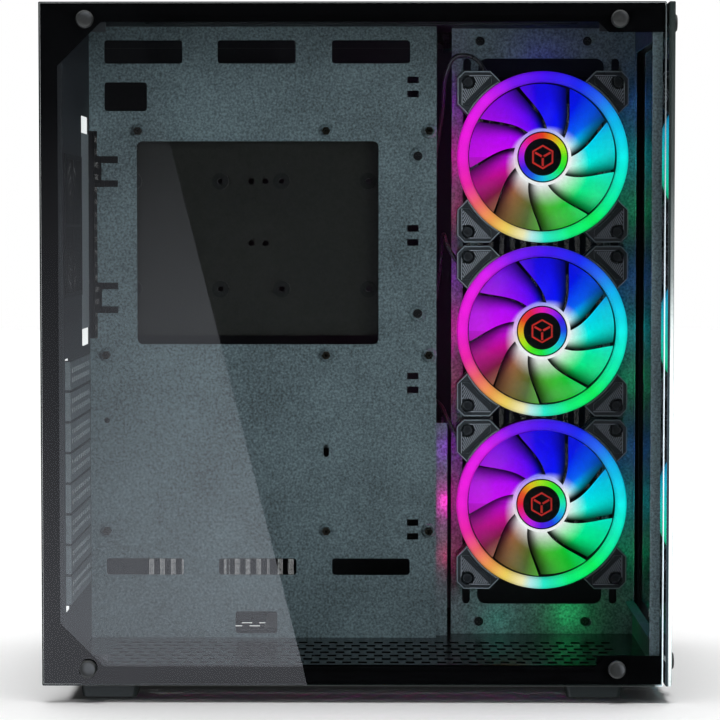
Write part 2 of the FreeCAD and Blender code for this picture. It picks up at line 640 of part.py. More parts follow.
def slot_cover(z):
    """Slot cover inside the rear wall, with vents and a tab bent out onto the shelf."""
    plate = box(WALL_X, WALL_X + COVER_T, SHELF_Y - COVER_T, SLOT_Y1 + 4.0, z - COVER_H / 2, z + COVER_H / 2)
    tab = box(REAR_X - SHELF_OUT + 1.0, WALL_X, SHELF_Y - COVER_T, SHELF_Y, z - COVER_H / 2, z + COVER_H / 2)
    count = 9
    pitch = (SLOT_Y1 - SLOT_Y0) / count
    cutters = [rod_y(M3_R + FIT, REAR_X - SHELF_OUT / 2, SHELF_Y - 2, SHELF_Y + 1, z)]
    for k in range(count):
        y = SLOT_Y0 + (k + 0.5) * pitch
        for dz in (-3.2, 3.2):
            cutters.append(box(WALL_X - 1, WALL_X + COVER_T + 1, y - 3.6, y + 3.6, z + dz - 1.7, z + dz + 1.7))
    return cut_all(plate.fuse(tab).removeSplitter(), cutters)


def screw(head_r, head_h, shank_r, length):
    """Pan-head screw along +Y, its head's seat at the origin, with a crossed recess."""
    head = rod_y(head_r, 0, -head_h, 0, 0)
    rims_out = [e for e in head.Edges if e.Curve.TypeId == "Part::GeomCircle" and e.BoundBox.YMax < -head_h / 2]
    head = head.makeFillet(head_h * 0.35, rims_out)
    cross = [box(-head_r * 0.55, head_r * 0.55, -head_h - 1, -head_h * 0.45, -0.45, 0.45),
             box(-0.45, 0.45, -head_h - 1, -head_h * 0.45, -head_r * 0.55, head_r * 0.55)]
    return head.cut(cross).fuse(rod_y(shank_r, 0, 0, length, 0))


def placed(solid, x, y, z):
    copy = solid.copy()
    copy.translate(V(x, y, z))
    return copy


def expansion_slots():
    cover_screw = screw(3.4, 2.4, M3_R, 5.0)
    zs = [slot_z(k) for k in range(SLOT_COUNT)]
    save("expansion_slot_covers", *[slot_cover(z) for z in zs])
    save("slot_screws", *[placed(cover_screw, REAR_X - SHELF_OUT / 2, SHELF_Y - COVER_T, z) for z in zs])


# ---- motherboard tray ----------------------------------------------------------------------------------
CABLE_W = 54.9                   # upper and lower cable openings
CABLE_X = (10.8, 90.5, 170.8)    # their rear edges, from the rear wall
CABLE_TOP = (190.8, 16.3)        # lower edge above the glass's middle, and height
CABLE_LOW = (-170.3, 11.8)
CPU_X = (33.3, 203.6)            # cooler cut-out
CPU_Z = (-6.6, 136.4)
TIE_Z = (174.4, 70.2, -33.9, -137.9)
TIE_X = 16.6                     # tie bridges, back from the tray's front edge
DIMPLE_X = 13.2
DIMPLE_Z = (125.9, 15.2)
DIMPLE_R = 6.4
TRAY_RETURN = 8.0
EMBOSS_H = 1.2


def standoff_spots():
    top = [(COLS[1], ROWS[0]), (COLS[2], ROWS[0]), (COLS[3], ROWS[0])]
    rest = [(c, r) for r in ROWS[1:] for c in (COLS[0], COLS[2], COLS[3])]
    return [(BOARD_X + c, BOARD_Z + r) for c, r in top + rest]


def tray_openings():
    y0 = TRAY_Y - 2
    y1 = TRAY_BACK + 2
    cutters = [window(WALL_X + CPU_X[0], WALL_X + CPU_X[1], y0, y1, MID_Z + CPU_Z[0], MID_Z + CPU_Z[1], CORNER_R)]
    for x in CABLE_X:
        for low, height in (CABLE_TOP, CABLE_LOW):
            cutters.append(window(WALL_X + x, WALL_X + x + CABLE_W, y0, y1, MID_Z + low, MID_Z + low + height, 2.0))
    cutters.append(window(WALL_X + 10.8, WALL_X + 40.7, y0, y1, MID_Z + 157.5, MID_Z + 177.7, 2.0))
    cutters.append(window(WALL_X + 102.1, WALL_X + 131.8, y0, y1, MID_Z - 212.0, MID_Z - 196.3, 2.0))
    return cutters


def rear_notches():
    """Tall notch beside the connector opening, with two side bays."""
    y0 = TRAY_Y - 2
    y1 = TRAY_BACK + 2
    tall = box(WALL_X - 1, WALL_X + 5.4, y0, y1, MID_Z - 2.5, MID_Z + 143.5)
    bays = [box(WALL_X + 5.0, WALL_X + 20.0, y0, y1, MID_Z + low, MID_Z + low + 21.6) for low in (104.3, 15.4)]
    return tall.fuse(bays)


def motherboard_tray():
    plate = box(WALL_X, TRAY_X1, TRAY_Y, TRAY_BACK, FLOOR_Z, ROOF_Z)
    turned = box(TRAY_X1 - SHEET, TRAY_X1, TRAY_BACK, TRAY_BACK + TRAY_RETURN, FLOOR_Z, ROOF_Z)
    lips = []
    for z0, z1 in ((FLOOR_Z, FLOOR_Z + SHEET), (ROOF_Z - SHEET, ROOF_Z)):
        lips.append(box(WALL_X + 20.0, TRAY_X1 - 20.0, TRAY_BACK, TRAY_BACK + TRAY_RETURN, z0, z1))
    tabs = [box(WALL_X + 8.5, WALL_X + 20.0, TRAY_Y, TRAY_BACK, MID_Z + low, MID_Z + low + 12.0)
            for low in (109.0, 20.2)]
    y0 = TRAY_Y - 2
    y1 = TRAY_BACK + 2
    cutters = tray_openings()
    cutters += [rod_y(STANDOFF_R - 1.0 + FIT, x, y0, y1, z) for x, z in standoff_spots()]
    for z in TIE_Z:
        x = TRAY_X1 - TIE_X
        cutters.append(box(x - 4.0, x + 4.0, y0, y1, MID_Z + z - 7.25, MID_Z + z - 2.6))
        cutters.append(box(x - 4.0, x + 4.0, y0, y1, MID_Z + z + 2.6, MID_Z + z + 7.25))
    cutters += [rod_y(M3_R + FIT, x, y0, y1, z) for x, z in dimple_spots()]
    cutters.append(rod_y(2.0, WALL_X + 11.6, y0, y1, MID_Z - 60.5))
    cutters.append(slot_y(WALL_X + 166.6, MID_Z - 81.9, 9.0, 4.0, y0, y1, True))
    plate = plate.cut(rear_notches())
    bumps = [Part.makeCone(STANDOFF_R + 2.6, STANDOFF_R + 1.0, EMBOSS_H, V(x, TRAY_Y, z), V(0, -1, 0))
             for x, z in standoff_spots()]
    dimples = [Part.makeCone(DIMPLE_R, DIMPLE_R - 1.6, EMBOSS_H, V(x, TRAY_Y, z), V(0, -1, 0))
               for x, z in dimple_spots()]
    return cut_all(plate.fuse([turned] + lips + tabs + bumps + dimples), cutters).removeSplitter()


def dimple_spots():
    return [(TRAY_X1 - DIMPLE_X, MID_Z + z) for z in DIMPLE_Z]


def standoff(x, z):
    """Hexagonal brass standoff with an M3 bore, its stem in the tray."""
    y1 = TRAY_Y - EMBOSS_H
    corners = []
    for k in range(6):
        a = math.radians(60 * k)
        corners.append((x + STANDOFF_R * math.cos(a), z + STANDOFF_R * math.sin(a)))
    body = prism(corners, "y", y1 - STANDOFF_H, STANDOFF_H).fuse(rod_y(STANDOFF_R - 1.0, x, y1, TRAY_BACK, z))
    return body.cut(rod_y(M3_BORE_R, x, y1 - STANDOFF_H - 1, y1 - STANDOFF_H + 6.0, z))


# ---- drive plate behind the tray ------------------------------------------------------------------------
SSD_X = 61.72                    # screw pattern of a 2.5-inch drive
SSD_Z = 76.6
SSD_COLS = (29.3, 134.6)         # rear screws of the two drives, from the rear wall
SSD_LOW = 32.0                   # lower screws above the glass's middle
DRIVE_GAP = 18.0                 # tray's back to the drive plate
DRIVE_T = 1.2
DRIVE_X = (24.0, 212.0)
DRIVE_Z = (-1.0, 146.0)
GROMMET_R = 6.0


def drive_spots():
    spots = []
    for x in SSD_COLS:
        for dx in (0.0, SSD_X):
            for dz in (0.0, SSD_Z):
                spots.append((WALL_X + x + dx, MID_Z + SSD_LOW + dz))
    return spots


def stay_spots():
    """Where the drive plate stands off the tray: outside the cooler cut-out."""
    xs = (WALL_X + DRIVE_X[0] + 4.0, WALL_X + DRIVE_X[1] - 4.0)
    zs = (MID_Z + 8.0, MID_Z + DRIVE_Z[1] - 14.0)
    return [(x, z) for x in xs for z in zs]


def drive_plate():
    y0 = TRAY_BACK + DRIVE_GAP
    y1 = y0 + DRIVE_T
    plate = window(WALL_X + DRIVE_X[0], WALL_X + DRIVE_X[1], y0, y1, MID_Z + DRIVE_Z[0], MID_Z + DRIVE_Z[1], 6.0)
    lip = box(WALL_X + DRIVE_X[0] + 8.0, WALL_X + DRIVE_X[1] - 8.0, y1, y1 + 6.0, MID_Z + DRIVE_Z[0],
              MID_Z + DRIVE_Z[0] + DRIVE_T)
    cutters = [rod_y(GROMMET_R - 1.5 + FIT, x, y0 - 1, y1 + 1, z) for x, z in drive_spots()]
    cutters += [rod_y(M3_R + FIT, x, y0 - 1, y1 + 1, z) for x, z in stay_spots()]
    middle = WALL_X + (DRIVE_X[0] + DRIVE_X[1]) / 2
    for dz in (SSD_LOW + SSD_Z, SSD_LOW + SSD_Z - 44.0):
        for dx in (-5.0, 5.0):
            cutters.append(rod_y(2.2, middle + dx, y0 - 1, y1 + 1, MID_Z + dz))
    return cut_all(plate.fuse(lip), cutters)


def drive_grommet(x, z):
    """Rubber grommet with a collar each side of the drive plate."""
    y0 = TRAY_BACK + DRIVE_GAP
    body = rod_y(GROMMET_R, x, y0 - 1.6, y0, z)
    body = body.fuse([rod_y(GROMMET_R - 1.5, x, y0, y0 + DRIVE_T, z),
                      rod_y(GROMMET_R - 0.6, x, y0 + DRIVE_T, y0 + DRIVE_T + 1.2, z)])
    return body.cut(rod_y(2.0, x, y0 - 3, y0 + DRIVE_T + 3, z))


def drive_stay(x, z):
    """Spacer between the tray's back and the drive plate."""
    body = rod_y(4.0, x, TRAY_BACK, TRAY_BACK + DRIVE_GAP, z)
    return body.cut(rod_y(M3_BORE_R, x, TRAY_BACK + DRIVE_GAP - 8.0, TRAY_BACK + DRIVE_GAP + 1, z))


# ---- fan bracket and front frame --------------------------------------------------------------------------
BRACKET_OPEN = 89.0              # width of the opening behind the fans
BRACKET_ENDS = 11.0              # opening beyond the fans, above and below
BRACKET_SLOT = 5.5
BRACKET_LEG = 10.0


def bracket_screw_spots():
    zs = (FLOOR_Z + 9.0, ROOF_Z - 9.0)
    return [(x, z) for x in (PLATE_X0 + 20.0, PLATE_X1 - 34.0) for z in zs]


def fan_bracket():
    plate = box(PLATE_X0, PLATE_X1, PLATE_Y, PLATE_BACK, FLOOR_Z, ROOF_Z)
    legs = [box(PLATE_X0, PLATE_X0 + SHEET, PLATE_BACK, PLATE_BACK + BRACKET_LEG, FLOOR_Z, ROOF_Z),
            box(PLATE_X0 + 12.0, PLATE_X1, PLATE_BACK, PLATE_BACK + BRACKET_LEG, FLOOR_Z, FLOOR_Z + SHEET),
            box(PLATE_X0 + 12.0, PLATE_X1, PLATE_BACK, PLATE_BACK + BRACKET_LEG, ROOF_Z - SHEET, ROOF_Z)]
    y0 = PLATE_Y - 1
    y1 = PLATE_BACK + 1
    half = FAN_COUNT * FAN_PITCH / 2 + BRACKET_ENDS
    middle = MID_Z + 1.0
    wide = BRACKET_OPEN * FAN_SIZE / 120.0 / 2
    cutters = [window(FAN_X - wide, FAN_X + wide, y0, y1, middle - half, middle + half, 6.0)]
    for side in (-1, 1):
        x = FAN_X + side * FAN_HOLES_HALF
        cutters.append(slot_y(x, middle, 2 * half, BRACKET_SLOT, y0, y1, True))
    cutters += [rod_y(M3_R + FIT, x, y0, y1, z) for x, z in bracket_screw_spots()]
    return cut_all(plate.fuse(legs), cutters).removeSplitter()


FAN_HOLES_HALF = FAN_SIZE / 2 - 7.5          # screw circle of the fans


def front_frame():
    """Front wall: a sill, a lintel, the slim post by the side glass and the closed rear-chamber side."""
    x0 = FRONT_X - SHEET
    plate = box(x0, FRONT_X, SIDE_Y + SHEET + FIT, BACK_Y - SHEET - FIT, FLOOR_Z, ROOF_Z)
    hole = window(x0 - 1, FRONT_X + 1, SIDE_Y + POST_FACE, PLATE_Y - 4.0, FLOOR_Z + FRONT_SILL,
                  ROOF_Z - FRONT_LINTEL, 3.0, "x")
    leg = box(FRONT_X - POST_LEG, FRONT_X, SIDE_Y, SIDE_Y + SHEET, GLASS_Z0 + RIM + FIT, GLASS_Z1 - RIM - FIT)
    join = box(x0, FRONT_X, SIDE_Y, SIDE_Y + POST_FACE, GLASS_Z0 + RIM + FIT, GLASS_Z1 - RIM - FIT)
    sill = box(FRONT_X - POST_LEG, x0, SIDE_Y + POST_FACE, PLATE_Y - 4.0, FLOOR_Z + FRONT_SILL - SHEET,
               FLOOR_Z + FRONT_SILL)
    stems = [rod_x(STEM_HOLE_R, x0 - 1, FRONT_X + 1, y, z) for y, z in front_spots()]
    return cut_all(plate.cut(hole).fuse([leg, join, sill]), stems).removeSplitter()


# ---- fans -------------------------------------------------------------------------------------------------
RING_W = 7.7                     # lit ring
RING_T = 6.0
BARREL_R = FAN_SIZE / 2 - 7.0    # air way
BARREL_OUT = FAN_SIZE / 2 - 0.6
FLANGE_T = 5.0
CORNER_CUT = 5.0
EAR_LEG = 23.0                   # length of an ear along the frame's edge
EAR_SLANT = 12.0
BLADES = 9
TIP_R = FAN_SIZE / 2 - RING_W - 0.8
HUB_R = 20.0
HUB_FRONT = 1.5                  # hub's face behind the ring's face
HUB_BACK = 19.0
CUP_R = 17.4                     # inside of the hub
CAP_R = 17.9
CAP_T = 1.5
LIGHT_IN = 13.1
LIGHT_OUT = 17.0
LIGHT_T = 0.9
SHAFT_R = 1.5
STATOR_R = 15.0
MOUNT_T = 4.0
MOUNT_R = 21.0
STRUT_W = 4.0
PAD_T = 1.0
PAD_IN = 3.0
BLADE_T = 1.7
BLADE_SPAN = 37.6                # degrees that a blade covers
BLADE_START = 31.0               # direction of one gap at the tips
BLADE_LAG = 29.0                 # the gap's inner end trails by this angle


def fan_point(y):
    return FAN_Y + y


def corner_ears(y0, y1):
    """Four corner ears of a flange: cut at the corner, and slanted at both ends down to the ring."""
    half = FAN_SIZE / 2
    end = half - EAR_LEG
    foot = half - EAR_SLANT
    outline = [(half, half - CORNER_CUT), (half - CORNER_CUT, half), (end, half), (end - EAR_SLANT, foot),
               (foot, end - EAR_SLANT), (half, end)]
    return [prism([(FAN_X + a * p, b * q) for p, q in outline], "y", fan_point(y0), y1 - y0)
            for a in (-1, 1) for b in (-1, 1)]


def corner_pins():
    return [(FAN_X + a * FAN_HOLES_HALF, b * FAN_HOLES_HALF) for a in (-1, 1) for b in (-1, 1)]


def fan_frame():
    """Frame drawn with its axis at z = 0: corner ears, barrel, corner pillars, motor mount, struts."""
    half = FAN_SIZE / 2
    ring_seat = rod_y(half + 0.15, FAN_X, fan_point(-1), fan_point(6), 0)
    front = [ear.cut(ring_seat) for ear in corner_ears(0, FLANGE_T)]
    back = corner_ears(FAN_T - FLANGE_T, FAN_T)
    barrel = rod_y(BARREL_OUT, FAN_X, fan_point(RING_T), fan_point(FAN_T), 0)
    pillars = [rod_y(6.0, x, fan_point(0.5), fan_point(FAN_T), z) for x, z in corner_pins()]
    body = barrel.fuse(back + front + pillars)
    body = body.cut(rod_y(BARREL_R, FAN_X, fan_point(RING_T - 1), fan_point(FAN_T + 1), 0))
    mount = rod_y(MOUNT_R, FAN_X, fan_point(FAN_T - MOUNT_T), fan_point(FAN_T), 0)
    struts = []
    for k in range(4):
        bar = box(FAN_X + MOUNT_R - 2, FAN_X + BARREL_R + 1, fan_point(FAN_T - MOUNT_T), fan_point(FAN_T),
                  -STRUT_W / 2, STRUT_W / 2)
        bar.rotate(V(FAN_X, 0, 0), V(0, 1, 0), 90 * k + 20)
        struts.append(bar)
    body = body.fuse([mount] + struts)
    holes = [rod_y(FAN_HOLE_R, x, fan_point(-1), fan_point(FAN_T + 1), z) for x, z in corner_pins()]
    pockets = [corner_pad(a, b, FIT) for a in (-1, 1) for b in (-1, 1)]
    return cut_all(body, holes + pockets)


def corner_pad(a, b, extra):
    """Soft corner pad let into the front flange, around the screw hole."""
    half = FAN_SIZE / 2 - PAD_IN + extra
    leg = 21.0 + 3 * extra
    cut = CORNER_CUT
    outline = [(half, half - leg), (half, half - cut), (half - cut, half), (half - leg, half)]
    outline = [(FAN_X + a * p, b * q) for p, q in outline]
    y0 = fan_point(0)
    pad = prism(outline, "y", y0 - (0.5 if extra else 0.0), PAD_T + (0.5 if extra else 0.0))
    keep = rod_y(FAN_SIZE / 2 + 2.5 - extra, FAN_X, y0 - 2, y0 + 6, 0)
    hole = rod_y(4.4 - extra, FAN_X + a * FAN_HOLES_HALF, y0 - 2, y0 + 6, b * FAN_HOLES_HALF)
    return pad.cut([keep, hole])


def led_ring():
    ring = tube(rod_y(FAN_SIZE / 2, FAN_X, fan_point(0), fan_point(RING_T), 0),
                rod_y(FAN_SIZE / 2 - RING_W, FAN_X, fan_point(-1), fan_point(RING_T + 1), 0))
    edges = [e for e in ring.Edges if e.Curve.TypeId == "Part::GeomCircle" and e.BoundBox.YMax < fan_point(1)]
    return ring.makeFillet(1.4, edges)


def blade_section(edge_r, half_angle):
    """Closed outline of a blade across its own radius, in the plane that faces outwards."""
    r = edge_r * math.cos(half_angle)
    reach = edge_r * math.sin(half_angle)
    share = (edge_r - HUB_R) / (TIP_R - HUB_R)
    lag = math.radians(BLADE_LAG) * max(0.0, 1.0 - share) ** 1.25
    turn = math.radians(BLADE_START) + half_angle * (180.0 / BLADES) / (BLADE_SPAN / 2) - lag
    lead = 4.2 + 1.5 * share
    trail = 17.0 - 2.0 * share
    middle = (lead + trail) / 2 - 1.2
    out = V(math.cos(turn), 0, math.sin(turn))
    side = V(-math.sin(turn), 0, math.cos(turn))

    def at(t, depth):
        return out * r + side * t + V(0, depth, 0)

    front = Part.Arc(at(-reach, trail), at(0, middle), at(reach, lead)).toShape()
    back = Part.Arc(at(reach, lead + BLADE_T), at(0, middle + BLADE_T), at(-reach, trail + BLADE_T)).toShape()
    tip = Part.makeLine(at(reach, lead), at(reach, lead + BLADE_T))
    root = Part.makeLine(at(-reach, trail + BLADE_T), at(-reach, trail))
    return Part.Wire([front, tip, back, root])


def blade():
    half_angle = math.radians(BLADE_SPAN / 2)
    stations = (HUB_R - 1.5, HUB_R + 8.0, HUB_R + 19.0, TIP_R + 5.5)
    loft = Part.makeLoft([blade_section(r, half_angle) for r in stations], True, False)
    limit = tube(rod_y(TIP_R, 0, 0, FAN_T, 0), rod_y(HUB_R - 0.8, 0, -1, FAN_T + 1, 0))
    return loft.common(limit)


def rotor():
    """Hub cup with its blades and shaft, axis at x = z = 0 and the ring's face at y = 0."""
    cup = rod_y(HUB_R, 0, HUB_FRONT, HUB_BACK, 0)
    edge = [e for e in cup.Edges if e.Curve.TypeId == "Part::GeomCircle" and e.BoundBox.YMax < HUB_FRONT + 1]
    cup = cup.makeFillet(0.8, edge)
    cup = cup.cut([rod_y(CUP_R, 0, HUB_FRONT + CAP_T + 2.0, HUB_BACK + 1, 0),
                   rod_y(CAP_R + FIT, 0, HUB_FRONT - 1, HUB_FRONT + CAP_T, 0)])
    shaft = rod_y(SHAFT_R, 0, HUB_FRONT + CAP_T + 1.0, FAN_T - MOUNT_T - 0.5, 0)
    first = blade()
    blades = []
    for k in range(BLADES):
        copy = first.copy()
        copy.rotate(V(0, 0, 0), V(0, 1, 0), 360.0 * k / BLADES)
        blades.append(copy)
    return cup.fuse(blades + [shaft])


def hub_cap():
    """Black cap with a raised centre and rim around the groove of the lit ring."""
    cap = rod_y(CAP_R, 0, HUB_FRONT, HUB_FRONT + CAP_T, 0)
    groove = tube(rod_y(LIGHT_OUT + FIT, 0, HUB_FRONT - 1, HUB_FRONT + LIGHT_T, 0),
                  rod_y(LIGHT_IN - FIT, 0, HUB_FRONT - 2, HUB_FRONT + LIGHT_T + 1, 0))
    return cap.cut(groove)


def hub_light():
    return tube(rod_y(LIGHT_OUT, 0, HUB_FRONT, HUB_FRONT + LIGHT_T, 0),
                rod_y(LIGHT_IN, 0, HUB_FRONT - 1, HUB_FRONT + LIGHT_T + 1, 0))


def stator():
    """Motor: stator drum with a bearing bore, standing on the frame's mount."""
    y1 = FAN_T - MOUNT_T
    drum = rod_y(STATOR_R, 0, 8.0, y1 - 4.0, 0)
    core = rod_y(5.0, 0, 7.0, y1, 0)
    board = rod_y(STATOR_R + 1.5, 0, y1 - 2.0, y1 - 0.8, 0)
    return drum.fuse([core, board]).cut(rod_y(SHAFT_R + RUN, 0, 6.0, y1 + 1, 0))


def at_fan(solid, z):
    return placed(solid, FAN_X, FAN_Y, z)


def fans():
    frame = fan_frame()
    ring = led_ring()
    parts = {"rotor": rotor(), "hub_cap": hub_cap(), "hub_light": hub_light()}
    motor = stator()
    pads = [corner_pad(a, b, 0.0) for a in (-1, 1) for b in (-1, 1)]
    bolt = screw(3.6, 2.2, FAN_HOLE_R - 0.4, 6.0)
    bolt.rotate(V(0, 0, 0), V(0, 0, 1), 180)
    all_pads = []
    all_motors = []
    all_bolts = []
    for k, z in enumerate(FAN_Z):
        tag = "fan_%d_" % (k + 1)
        save(tag + "frame", placed(frame, 0, 0, z))
        save(tag + "light_ring", placed(ring, 0, 0, z))
        for name, solid in parts.items():
            save(tag + name, at_fan(solid, z))
        all_motors.append(at_fan(motor, z))
        all_pads += [placed(pad, 0, 0, z) for pad in pads]
        all_bolts += [placed(bolt, x, PLATE_BACK, z + dz) for x, dz in corner_pins()]
    save("fan_corner_pads", *all_pads)
    save("fan_motors", *all_motors)
    save("fan_screws", *all_bolts)


# ---- fan controller and leads ------------------------------------------------------------------------------
CONTROL = (62.0, 16.0, 44.0)     # length, thickness, height
CONTROL_X = TRAY_X1 - 26.0 - CONTROL[0] / 2
CONTROL_Z = MID_Z - 30.0
PLUG = (8.0, 7.0, 5.0)           # across X, out of the controller, and up Z
PLUG_SUNK = 4.0
PORT_X = CONTROL_X + CONTROL[0] / 2 - 10.0
PORT_Y = TRAY_BACK + CONTROL[1] - PLUG_SUNK + PLUG[1]
PORT_PITCH = 13.0
LEAD_R = 1.5
# Each lead's route by hand: from the frame's barrel through the gap beside the bracket (offsets from the
# centre and front of a fan of LEAD_FAN), then into its plug (offsets from the plug's end).
LEAD_FAN = 120.0
LEAD_STARTS = (
    [(-33.0, 12.0, 49.4), (-47.0, 12.0, 71.0), (-62.0, 13.0, 72.5), (-69.0, 18.0, 56.0), (-69.0, 28.0, 40.0),
     (-71.0, 43.0, 22.0), (-78.0, 53.0, -20.0), (-76.0, 54.0, -66.0), (-84.0, 55.0, -112.0)],
    [(-46.5, 12.0, 37.0), (-58.5, 12.0, 46.5), (-67.0, 12.5, 60.0), (-69.0, 24.0, 70.0), (-70.0, 40.0, 60.0),
     (-72.0, 46.0, 34.0), (-78.0, 47.0, 6.0)],
    [(-46.5, 12.0, 37.0), (-58.5, 12.0, 46.5), (-67.0, 14.0, 60.0), (-70.0, 28.0, 68.0), (-76.0, 40.0, 72.0)])
LEAD_ENDS = (
    [(14.0, 21.0, 0.0), (0.0, 15.0, 0.0), (0.0, 0.0, 0.0)],
    [(16.0, 21.0, 7.0), (0.0, 15.0, 0.0), (0.0, 0.0, 0.0)],
    [(18.0, 21.0, -1.5), (0.0, 15.0, 0.0), (0.0, 0.0, 0.0)])


def port_z(k):
    return CONTROL_Z + PORT_PITCH * ((FAN_COUNT - 1) / 2 - k)


def fan_controller():
    """Box on the tray's back with a well for each lead's plug."""
    x0 = CONTROL_X - CONTROL[0] / 2
    z0 = CONTROL_Z - CONTROL[2] / 2
    top = TRAY_BACK + CONTROL[1]
    case = window(x0, x0 + CONTROL[0], TRAY_BACK, top, z0, z0 + CONTROL[2], 3.0)
    wells = [box(PORT_X - PLUG[0] / 2 - FIT, PORT_X + PLUG[0] / 2 + FIT, top - PLUG_SUNK, top + 1,
                 port_z(k) - PLUG[2] / 2 - FIT, port_z(k) + PLUG[2] / 2 + FIT) for k in range(FAN_COUNT)]
    return case.cut(wells)


def lead_plug(k):
    z = port_z(k)
    return box(PORT_X - PLUG[0] / 2, PORT_X + PLUG[0] / 2, PORT_Y - PLUG[1], PORT_Y, z - PLUG[2] / 2,
               z + PLUG[2] / 2)


def rounded_path(points):
    """Straight runs joined by tangent arcs, each as large as its two runs allow."""
    edges = []
    radii = []
    last = points[0]
    for a, b, c in zip(points, points[1:], points[2:]):
        way_in = (b - a).normalize()
        way_out = (c - b).normalize()
        turn = way_in.getAngle(way_out)
        cut = 0.45 * min((b - a).Length, (c - b).Length)
        radius = cut / math.tan(turn / 2)
        start = b - way_in * cut
        end = b + way_out * cut
        inward = (way_out - way_in).normalize()
        middle = b + inward * (radius / math.cos(turn / 2) - radius)
        edges.append(Part.makeLine(last, start))
        edges.append(Part.Arc(start, middle, end).toShape())
        radii.append(radius)
        last = end
    edges.append(Part.makeLine(last, points[-1]))
    return Part.Wire(edges), radii


def lead_route(k):
    """Two points that leave the barrel and grow with the fan, others that follow the gap beside the bracket."""
    centre = V(FAN_X, FAN_Y, FAN_Z[k])
    end = V(PORT_X, PORT_Y, port_z(k))
    grow = FAN_SIZE / LEAD_FAN
    leave = [centre + V(x * grow, y, z * grow) for x, y, z in LEAD_STARTS[k][:2]]
    beside = V((LEAD_FAN - FAN_SIZE) / 2, 0, 0)
    follow = [centre + beside + V(*p) for p in LEAD_STARTS[k][2:]]
    return leave + follow + [end + V(*p) for p in LEAD_ENDS[k]]


def fan_leads():
    tubes = []
    for k in range(FAN_COUNT):
        points = lead_route(k)
        path, radii = rounded_path(points)
        ring = Part.Wire(Part.makeCircle(LEAD_R, points[0], points[1] - points[0]))
        lead = path.makePipeShell([ring], True, False)
        exact = math.pi * LEAD_R ** 2 * path.Length
        print("lead %d: length %.0f, radii %s, volume ratio %.4f"
              % (k + 1, path.Length, " ".join("%.0f" % r for r in radii), lead.Volume / exact))
        tubes.append(lead)
    save("fan_leads", *tubes)
    save("fan_lead_plugs", *[lead_plug(k) for k in range(FAN_COUNT)])


# ---- right side panel ----------------------------------------------------------------------------------------
PANEL_LIP = 8.0
PANEL_VENT = (4.0, 34.0)
PANEL_PITCH = (8.0, 42.0)
SUPPLY_VENT_X = (30.0, 150.0)
SUPPLY_VENT_Z = (20.0, 60.0)
THUMB_R = 5.5
THUMB_HEAD = 7.0


def panel_slots(x0, x1, z0, z1):
    """Upright slots in rows, filling a field of the right panel."""
    cols = int((x1 - x0) // PANEL_PITCH[0])
    rows = max(1, int((z1 - z0) // PANEL_PITCH[1]))
    cutters = []
    for row in range(rows):
        z = (z0 + z1) / 2 + (row - (rows - 1) / 2) * PANEL_PITCH[1]
        for col in range(cols):
            x = (x0 + x1) / 2 + (col - (cols - 1) / 2) * PANEL_PITCH[0]
            cutters.append(box(x - PANEL_VENT[0] / 2, x + PANEL_VENT[0] / 2, BACK_Y, OUTER_Y + 1,
                               z - PANEL_VENT[1] / 2, z + PANEL_VENT[1] / 2))
    return cutters


def right_side_panel():
    """Flat panel with lips over the roof and under the floor, and a rear tab for its thumbscrews."""
    y0 = OUTER_Y - SHEET
    top = ROOF_Z + SHEET + GAP
    low = FLOOR_Z - SHEET - GAP
    x0 = REAR_X - GAP - SHEET
    plate = box(x0, FRONT_X, y0, OUTER_Y, low - SHEET, top + SHEET)
    lips = [box(REAR_X, FRONT_X - 4.0, y0 - PANEL_LIP, y0, top, top + SHEET),
            box(REAR_X, FRONT_X - 4.0, y0 - PANEL_LIP, y0, low - SHEET, low)]
    tab = box(x0, x0 + SHEET, THUMB_Y - THUMB_R - 0.1, y0, low + 8.0, top - 8.0)
    holes = [rod_x(M3_R + FIT, x0 - 1, x0 + SHEET + 1, THUMB_Y, z) for z in THUMB_ZS]
    cutters = panel_slots(FAN_X - FAN_SIZE / 2 + 8, FAN_X + FAN_SIZE / 2 - 8, FAN_Z[-1] - FAN_SIZE / 2,
                          FAN_Z[0] + FAN_SIZE / 2)
    cutters += panel_slots(WALL_X + SUPPLY_VENT_X[0], WALL_X + SUPPLY_VENT_X[1], FLOOR_Z + SUPPLY_VENT_Z[0],
                           FLOOR_Z + SUPPLY_VENT_Z[1])
    return cut_all(plate.fuse(lips + [tab]), cutters + holes).removeSplitter()


def thumbscrew(z):
    """Knurled captive thumbscrew behind the panel's rear tab."""
    x1 = REAR_X - GAP - SHEET
    head = rod_x(THUMB_R, x1 - THUMB_HEAD, x1, THUMB_Y, z)
    notches = []
    for k in range(18):
        a = 2 * math.pi * k / 18
        notches.append(rod_x(0.6, x1 - THUMB_HEAD - 1, x1 - 1.0, THUMB_Y + THUMB_R * math.cos(a),
                             z + THUMB_R * math.sin(a)))
    shank = rod_x(M3_R - 0.25, x1, WALL_X + 4.0, THUMB_Y, z)
    return head.cut(notches).fuse(shank)


# ---- control panel on the roof ----------------------------------------------------------------------------------
POWER_R = 9.0
SMALL_R = 3.6
BUTTON_T = 2.0                   # button over the bezel
BUTTON_STROKE = 1.5
POWER_X = IO_X + IO_L / 2 - 16.0
RESET_X = POWER_X - 18.0
MODE_X = RESET_X - 12.0
JACK_XS = (MODE_X - 11.0, MODE_X - 21.0)
USB_XS = (MODE_X - 34.0, MODE_X - 46.0)
USB = (6.0, 14.5)                # socket mouths, across X and Y
JACK_R = 3.0
BOARD_T = 1.6
BEZEL_Z = ROOF_Z + SHEET         # seat of the bezel on the roof
BEZEL_TOP = BEZEL_Z + IO_T
IO_BOARD_Z = ROOF_Z - IO_DEEP - 6.0


